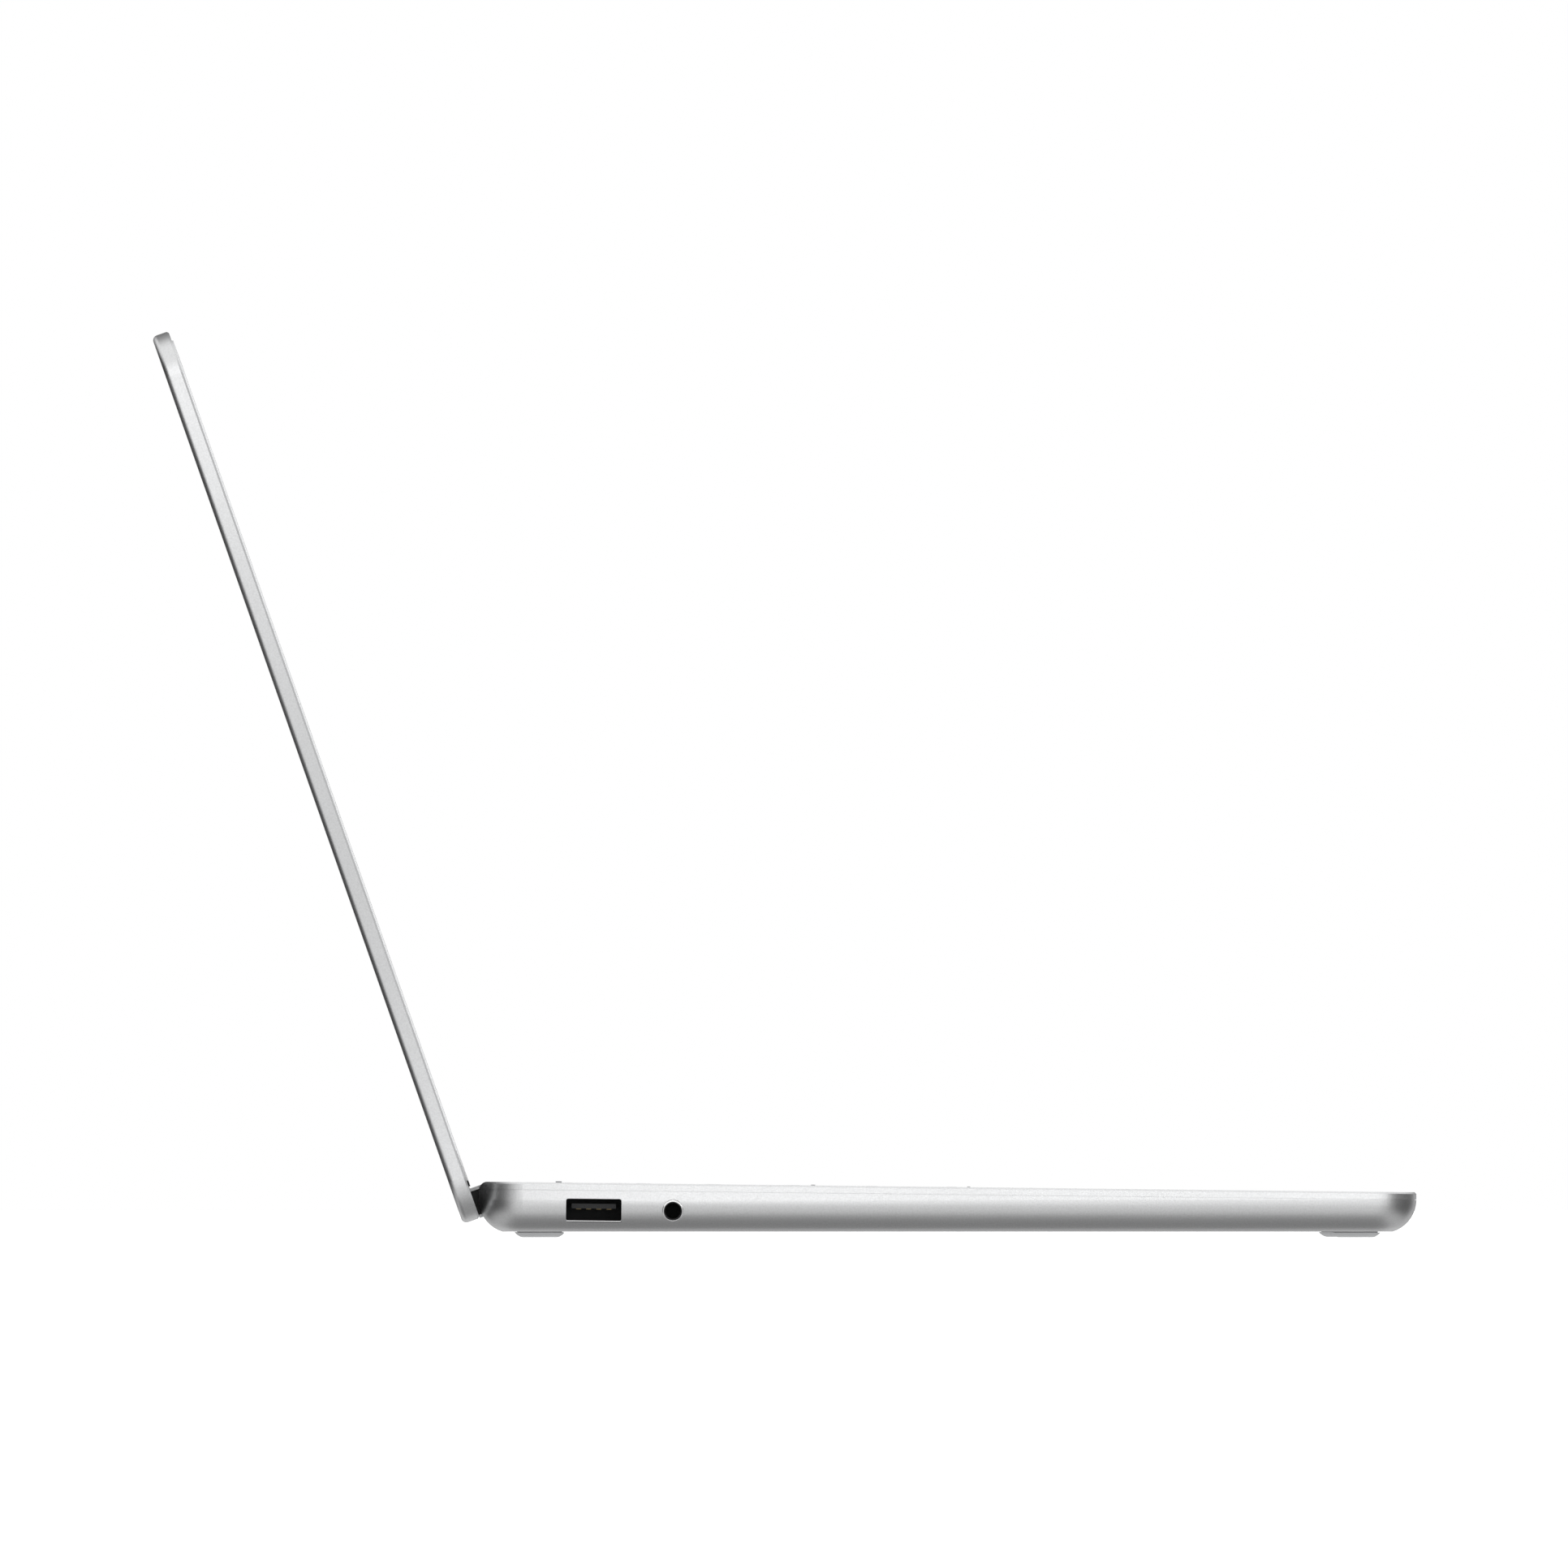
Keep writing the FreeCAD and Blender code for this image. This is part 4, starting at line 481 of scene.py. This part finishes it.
def painted_shade_chin_trim():
    """Painted shade: a dark strip between the glass and the hinge, round the glass's two lower corners,
    drawn as a black chin trim where the lid lies in deep shade.
    """
    half = HALF_WIDTH - CHIN_INSET
    foot = -LID_FOOT + CHIN_INSET
    outer = LID_CORNER - CHIN_INSET
    glass_half = HALF_WIDTH - GLASS_INSET
    inner = LID_CORNER - GLASS_INSET
    top = CHIN - CHIN_GAP + inner
    right = arc((half - outer, foot + outer), outer, 270, 90) + [(half, top), (glass_half, top)]
    right += arc((glass_half - inner, top), inner, 0, -90)
    outline = right + [(-x, up) for x, up in reversed(right)]

    def strip(shape):
        slab(shape, outline, RIM_FRONT - CHIN_HALF_THICK, RIM_FRONT + CHIN_HALF_THICK)

    new_piece("painted_shade_chin_trim", mesh_from("painted_shade_chin_trim", strip), CHIN_SHADE_BLACK, "lid", LID)


def lid_details():
    """The lit area behind the glass, the camera's window and its ring, and its small light."""
    middle = (0, SCREEN_LOW + SCREEN_HEIGHT / 2)

    def active(shape):
        slab(shape, rounded_loop(middle, SCREEN_WIDTH, SCREEN_HEIGHT, SCREEN_CORNER),
             GLASS_FRONT - SCREEN_RISE, GLASS_FRONT + SCREEN_ROOT)

    new_piece("display_active_area", mesh_from("display_active_area", active), ACTIVE, "lid",
              LID)

    def disc(shape, x, radius, rise):
        steps = 36
        angles = [2 * math.pi * step / steps for step in range(steps)]
        points = [(x + radius * math.cos(angle), CAMERA_UP + radius * math.sin(angle))
                  for angle in angles]
        slab(shape, points, GLASS_FRONT - rise, GLASS_FRONT + DISC_ROOT)

    for name, x, radius, rise, material, slot in CAMERA_DISCS:
        mesh = mesh_from(name, lambda shape: disc(shape, x, radius, rise))
        new_piece(name, mesh, material, "lid", LID)


# ---- port details ------------------------------------------------------------------------------

USB_BACK = 187.1 * MM
USB_DEPTH = 6.1 * MM
USB_WIDE = 12.6 * MM
USB_HIGH = 5.0 * MM
CONTACTS = 4
CONTACT_PITCH = 2.3 * MM
CONTACT_HALF = 0.55 * MM
CONTACT_START = 4.2 * MM
CONTACT_END = 12 * MM
CONTACT_LOW = 0.05 * MM
CONTACT_HIGH = 0.33 * MM
SILL_RADIUS = 0.16 * MM
JACK_BACK = 169.1 * MM
JACK_DEPTH = 6.15 * MM
RING_RADIUS = 2.2 * MM
RING_BEAD = 0.24 * MM
BEAD_SIDES = 12
BEAD_SINK = 3
FEET_HEIGHT = 1.3 * MM
BELLY_RADIUS = 7.6 * MM
BELLY_DIP = 0.33 * MM
BELLY_CENTRE = FEET_HEIGHT - BELLY_DIP + BELLY_RADIUS


def side_x(height):
    """How far out the rounded left side stands at a height above the surface."""
    drop = max(BELLY_CENTRE - height, 0)
    return -HALF_WIDTH + BELLY_RADIUS - math.sqrt(BELLY_RADIUS ** 2 - drop ** 2)


def bead_outline(radius):
    """Points round a bead's round section. A bead's middle lies radius / BEAD_SINK inside the side."""
    return arc((0, 0), radius, 0, 360 - 360 / BEAD_SIDES, BEAD_SIDES - 1)


def usb_details():
    """A bright bead under the mouth, and four contacts under the tongue."""
    start = USB_BACK - USB_WIDE / 2 + SILL_RADIUS
    end = USB_BACK + USB_WIDE / 2 - SILL_RADIUS
    drop = -USB_DEPTH - USB_HIGH / 2 - SILL_RADIUS / 2

    def sill(shape):
        rings = []
        for back in (start, end):
            middle = DECK @ Vector((0, back, drop))
            middle.x = side_x(middle.z) + SILL_RADIUS / BEAD_SINK
            rings.append([shape.verts.new(middle + Vector((x, 0, z)))
                          for x, z in bead_outline(SILL_RADIUS)])
        for index in range(BEAD_SIDES):
            after = (index + 1) % BEAD_SIDES
            shape.faces.new((rings[0][index], rings[0][after], rings[1][after], rings[1][index]))
        shape.faces.new(rings[0])
        shape.faces.new(list(reversed(rings[1])))

    new_piece("usb_a_sill", mesh_from("usb_a_sill", sill), POLISHED, "base")

    def contacts(shape):
        for index in range(CONTACTS):
            back = USB_BACK + (index - (CONTACTS - 1) / 2) * CONTACT_PITCH
            brick(shape,
                  (-HALF_WIDTH + CONTACT_START, back - CONTACT_HALF, -USB_DEPTH + CONTACT_LOW),
                  (-HALF_WIDTH + CONTACT_END, back + CONTACT_HALF, -USB_DEPTH + CONTACT_HIGH))

    # The contacts' gold is painted dark as the port's shade.
    mesh = mesh_from("usb_a_contacts", contacts)
    new_piece("usb_a_contacts", mesh, SHADED_GOLD, "base", DECK)


def jack_ring():
    """A bright bead round the headphone jack, bent to the rounded side and kept inside the width."""
    around = 48

    def ring(shape):
        loops = []
        for turn in range(around):
            angle = 2 * math.pi * turn / around
            out = Vector((0, math.cos(angle), math.sin(angle)))
            middle = DECK @ (Vector((0, JACK_BACK, -JACK_DEPTH)) + out * RING_RADIUS)
            middle.x = max(side_x(middle.z) + RING_BEAD / BEAD_SINK, -HALF_WIDTH + RING_BEAD)
            loops.append([shape.verts.new(middle + out * wide + Vector((x, 0, 0)))
                          for x, wide in bead_outline(RING_BEAD)])
        for turn in range(around):
            here, there = loops[turn], loops[(turn + 1) % around]
            for index in range(BEAD_SIDES):
                after = (index + 1) % BEAD_SIDES
                shape.faces.new((here[index], here[after], there[after], there[index]))

    mesh = mesh_from("headphone_jack_ring", ring)
    mesh.shade_smooth()
    new_piece("headphone_jack_ring", mesh, POLISHED, "base")


# ---- stage, light and camera -------------------------------------------------------------------

def softly(tree, value, start, end, low, high):
    """Run a value smoothly from low to high as a signal goes from start to end."""
    node = tree.nodes.new("ShaderNodeMapRange")
    node.interpolation_type = "SMOOTHSTEP"
    for socket, number in zip(node.inputs[1:5], (start, end, low, high)):
        socket.default_value = number
    tree.links.new(value, node.inputs[0])
    return node.outputs[0]


def rising(tree, value, span):
    """0 before a span of the signal and 1 after it."""
    return softly(tree, value, *span, 0.0, 1.0)


def falling(tree, value, span):
    """1 before a span of the signal and 0 after it."""
    return softly(tree, value, *span, 1.0, 0.0)


def shade(tree, mask, level):
    """1 where the mask is 0, and the level where it is 1."""
    return softly(tree, mask, 0.0, 1.0, 1.0, level)


def product(tree, *signals):
    result = signals[0]
    for signal in signals[1:]:
        node = tree.nodes.new("ShaderNodeMath")
        node.operation = "MULTIPLY"
        tree.links.new(result, node.inputs[0])
        tree.links.new(signal, node.inputs[1])
        result = node.outputs[0]
    return result


def size_of(tree, signal):
    node = tree.nodes.new("ShaderNodeMath")
    node.operation = "ABSOLUTE"
    tree.links.new(signal, node.inputs[0])
    return node.outputs[0]


# How bright the tent is level with the object and overhead, and what share of that is left past its
# rear and front ends, below it, beyond its right side, and low down past the ends.
TENT_LEVEL = 0.70
DOME_LEVEL = 0.90
REAR_LEVEL = 0.02
FRONT_LEVEL = 0.10
UNDER_LEVEL = 0.30
FAR_LEVEL = 0.12
CORNER_LEVEL = 0.72

# Where each of these starts and ends, as a share of a direction's way back (+Y), up (+Z) or right (+X).
DOME_UP = (0.2, 0.7)
REAR_BACK, REAR_FOOT, REAR_TOP = (0.3, 0.8), (-0.75, -0.35), (0.2, 0.5)
FRONT_BACK, FRONT_FOOT, FRONT_TOP = (-0.95, -0.4), (-0.8, -0.4), (0.1, 0.35)
MIDDLE_BACK = (0.25, 0.55)
UNDER_UP = (-0.95, -0.62)
FAR_RIGHT, FAR_FOOT = (0.0, 0.5), (-0.35, -0.1)
CORNER_BACK, CORNER_UP = (0.2, 0.45), (-0.5, -0.3)


def studio():
    """A white backdrop, and round the object a bright tent that is dark past the ends and below."""
    world = bpy.data.worlds.new("studio")
    bpy.context.scene.world = world
    world.use_nodes = True
    tree = world.node_tree
    background = tree.nodes["Background"]
    where = tree.nodes.new("ShaderNodeTexCoord")
    split = tree.nodes.new("ShaderNodeSeparateXYZ")
    tree.links.new(where.outputs["Generated"], split.inputs[0])
    back, up = split.outputs["Y"], split.outputs["Z"]
    aside = size_of(tree, back)
    rear = product(tree, rising(tree, back, REAR_BACK), rising(tree, up, REAR_FOOT),
                   falling(tree, up, REAR_TOP))
    front = product(tree, falling(tree, back, FRONT_BACK), rising(tree, up, FRONT_FOOT),
                    falling(tree, up, FRONT_TOP))
    middle = falling(tree, aside, MIDDLE_BACK)
    under = product(tree, falling(tree, up, UNDER_UP), middle)
    far = product(tree, rising(tree, split.outputs["X"], FAR_RIGHT), middle,
                  rising(tree, up, FAR_FOOT))
    corner = product(tree, rising(tree, aside, CORNER_BACK), falling(tree, up, CORNER_UP))
    glow = product(tree, softly(tree, up, *DOME_UP, TENT_LEVEL, DOME_LEVEL),
                   shade(tree, rear, REAR_LEVEL), shade(tree, front, FRONT_LEVEL),
                   shade(tree, under, UNDER_LEVEL), shade(tree, far, FAR_LEVEL),
                   shade(tree, corner, CORNER_LEVEL))
    tint = tree.nodes.new("ShaderNodeCombineColor")
    for socket in tint.inputs[:3]:
        tree.links.new(glow, socket)
    path = tree.nodes.new("ShaderNodeLightPath")
    choose = tree.nodes.new("ShaderNodeMix")
    choose.data_type = "RGBA"
    tree.links.new(path.outputs["Is Camera Ray"], choose.inputs[0])
    tree.links.new(tint.outputs[0], choose.inputs[6])
    choose.inputs[7].default_value = (1, 1, 1, 1)
    tree.links.new(choose.outputs[2], background.inputs["Color"])
    background.inputs["Strength"].default_value = 1.0


FLOOR_HALF = 30
FLOOR_GREY = 0.9
FLOOR_ROUGHNESS = 0.9
FLOOR_GLOW = 0.65


def floor():
    """A pale floor that can be seen through from below, so that the underside shows there."""
    mesh = mesh_from("floor", lambda shape: bmesh.ops.create_grid(
        shape, x_segments=1, y_segments=1, size=FLOOR_HALF))
    material, tree, shader = new_material("floor_white")
    shader.inputs["Base Color"].default_value = (FLOOR_GREY,) * 3 + (1,)
    shader.inputs["Roughness"].default_value = FLOOR_ROUGHNESS
    shader.inputs["Specular IOR Level"].default_value = 0.0
    shader.inputs["Emission Color"].default_value = (1, 1, 1, 1)
    shader.inputs["Emission Strength"].default_value = FLOOR_GLOW
    side = tree.nodes.new("ShaderNodeNewGeometry")
    clear = tree.nodes.new("ShaderNodeBsdfTransparent")
    mix = tree.nodes.new("ShaderNodeMixShader")
    tree.links.new(side.outputs["Backfacing"], mix.inputs[0])
    tree.links.new(shader.outputs[0], mix.inputs[1])
    tree.links.new(clear.outputs[0], mix.inputs[2])
    tree.links.new(mix.outputs[0], tree.nodes["Material Output"].inputs["Surface"])
    mesh.materials.append(material)
    stage = bpy.data.objects.new("floor", mesh)
    bpy.context.collection.objects.link(stage)
    stage.visible_glossy = False


def panel(name, place, aim, size, glow):
    """A soft light panel whose face shines as brightly as a tent of strength glow."""
    light = bpy.data.lights.new(name, "AREA")
    light.shape = "RECTANGLE"
    light.size, light.size_y = size
    light.energy = glow * math.pi * size[0] * size[1]
    lamp = bpy.data.objects.new(name, light)
    bpy.context.collection.objects.link(lamp)
    lamp.location = place
    lamp.rotation_euler = (Vector(aim) - Vector(place)).to_track_quat("-Z", "Y").to_euler()
    lamp.visible_camera = False


OVERHEAD_PLACE, OVERHEAD_AIM = (-0.4, -0.2, 1.3), (0, 0, 0.05)
OVERHEAD_SIZE, OVERHEAD_GLOW = (1.2, 1.2), 0.25
STRIP_GAP = 0.16
BASE_STRIP_Y, BASE_STRIP_Z, BASE_STRIP_SIZE, BASE_STRIP_GLOW = -0.11, 0.012, (0.38, 0.03), 1.6
LID_STRIP_Y, LID_STRIP_RISE, LID_STRIP_SIZE, LID_STRIP_GLOW = 0.13, 0.03, (0.3, 0.13), 0.75
LID_STRIP_GAP = 0.05


def lights():
    """One panel overhead, and two strips off the left side: beside the base and beside the lid's top."""
    near = -HALF_WIDTH - STRIP_GAP
    top = CAD_BOX[1].z + LID_STRIP_RISE
    panel("overhead", OVERHEAD_PLACE, OVERHEAD_AIM, OVERHEAD_SIZE, OVERHEAD_GLOW)
    panel("base_strip", (near, BASE_STRIP_Y, BASE_STRIP_Z), (0, BASE_STRIP_Y, BASE_STRIP_Z),
          BASE_STRIP_SIZE, BASE_STRIP_GLOW)
    panel("lid_strip", (near - LID_STRIP_GAP, LID_STRIP_Y, top), (0, LID_STRIP_Y, top),
          LID_STRIP_SIZE, LID_STRIP_GLOW)


VIEW_WIDTH = 356.5 * MM
VIEW_SHIFT = Vector((0, 0.21, 0.07)) * MM
SENSOR_WIDTH = 36
LENS_LENGTH = 1600
CLIP_START, CLIP_END = 0.1, 100


def camera():
    """Far off on the line of the hinge axis, so that deck and lid are seen edge-on."""
    data = bpy.data.cameras.new("camera")
    data.sensor_width = SENSOR_WIDTH
    data.lens = LENS_LENGTH
    distance = VIEW_WIDTH * data.lens / data.sensor_width
    view = bpy.data.objects.new("camera", data)
    bpy.context.collection.objects.link(view)
    view.location = (-HALF_WIDTH - distance, HINGE_POINT.y, HINGE_POINT.z)
    aim = (CAD_BOX[0] + CAD_BOX[1]) / 2 + VIEW_SHIFT
    aim.x = -HALF_WIDTH
    view.rotation_euler = (aim - view.location).to_track_quat("-Z", "Y").to_euler()
    data.clip_start = CLIP_START
    data.clip_end = CLIP_END
    bpy.context.scene.camera = view


def colour_management():
    """Plain colours, with no film curve."""
    settings = bpy.context.scene.view_settings
    settings.view_transform = "Standard"
    settings.look = "None"
    settings.exposure = 0
    settings.gamma = 1


paint_shade_on_gasket_foot()
dress_nodes()
add_legends()
lid_details()
painted_shade_chin_trim()
usb_details()
jack_ring()
studio()
floor()
lights()
camera()
colour_management()
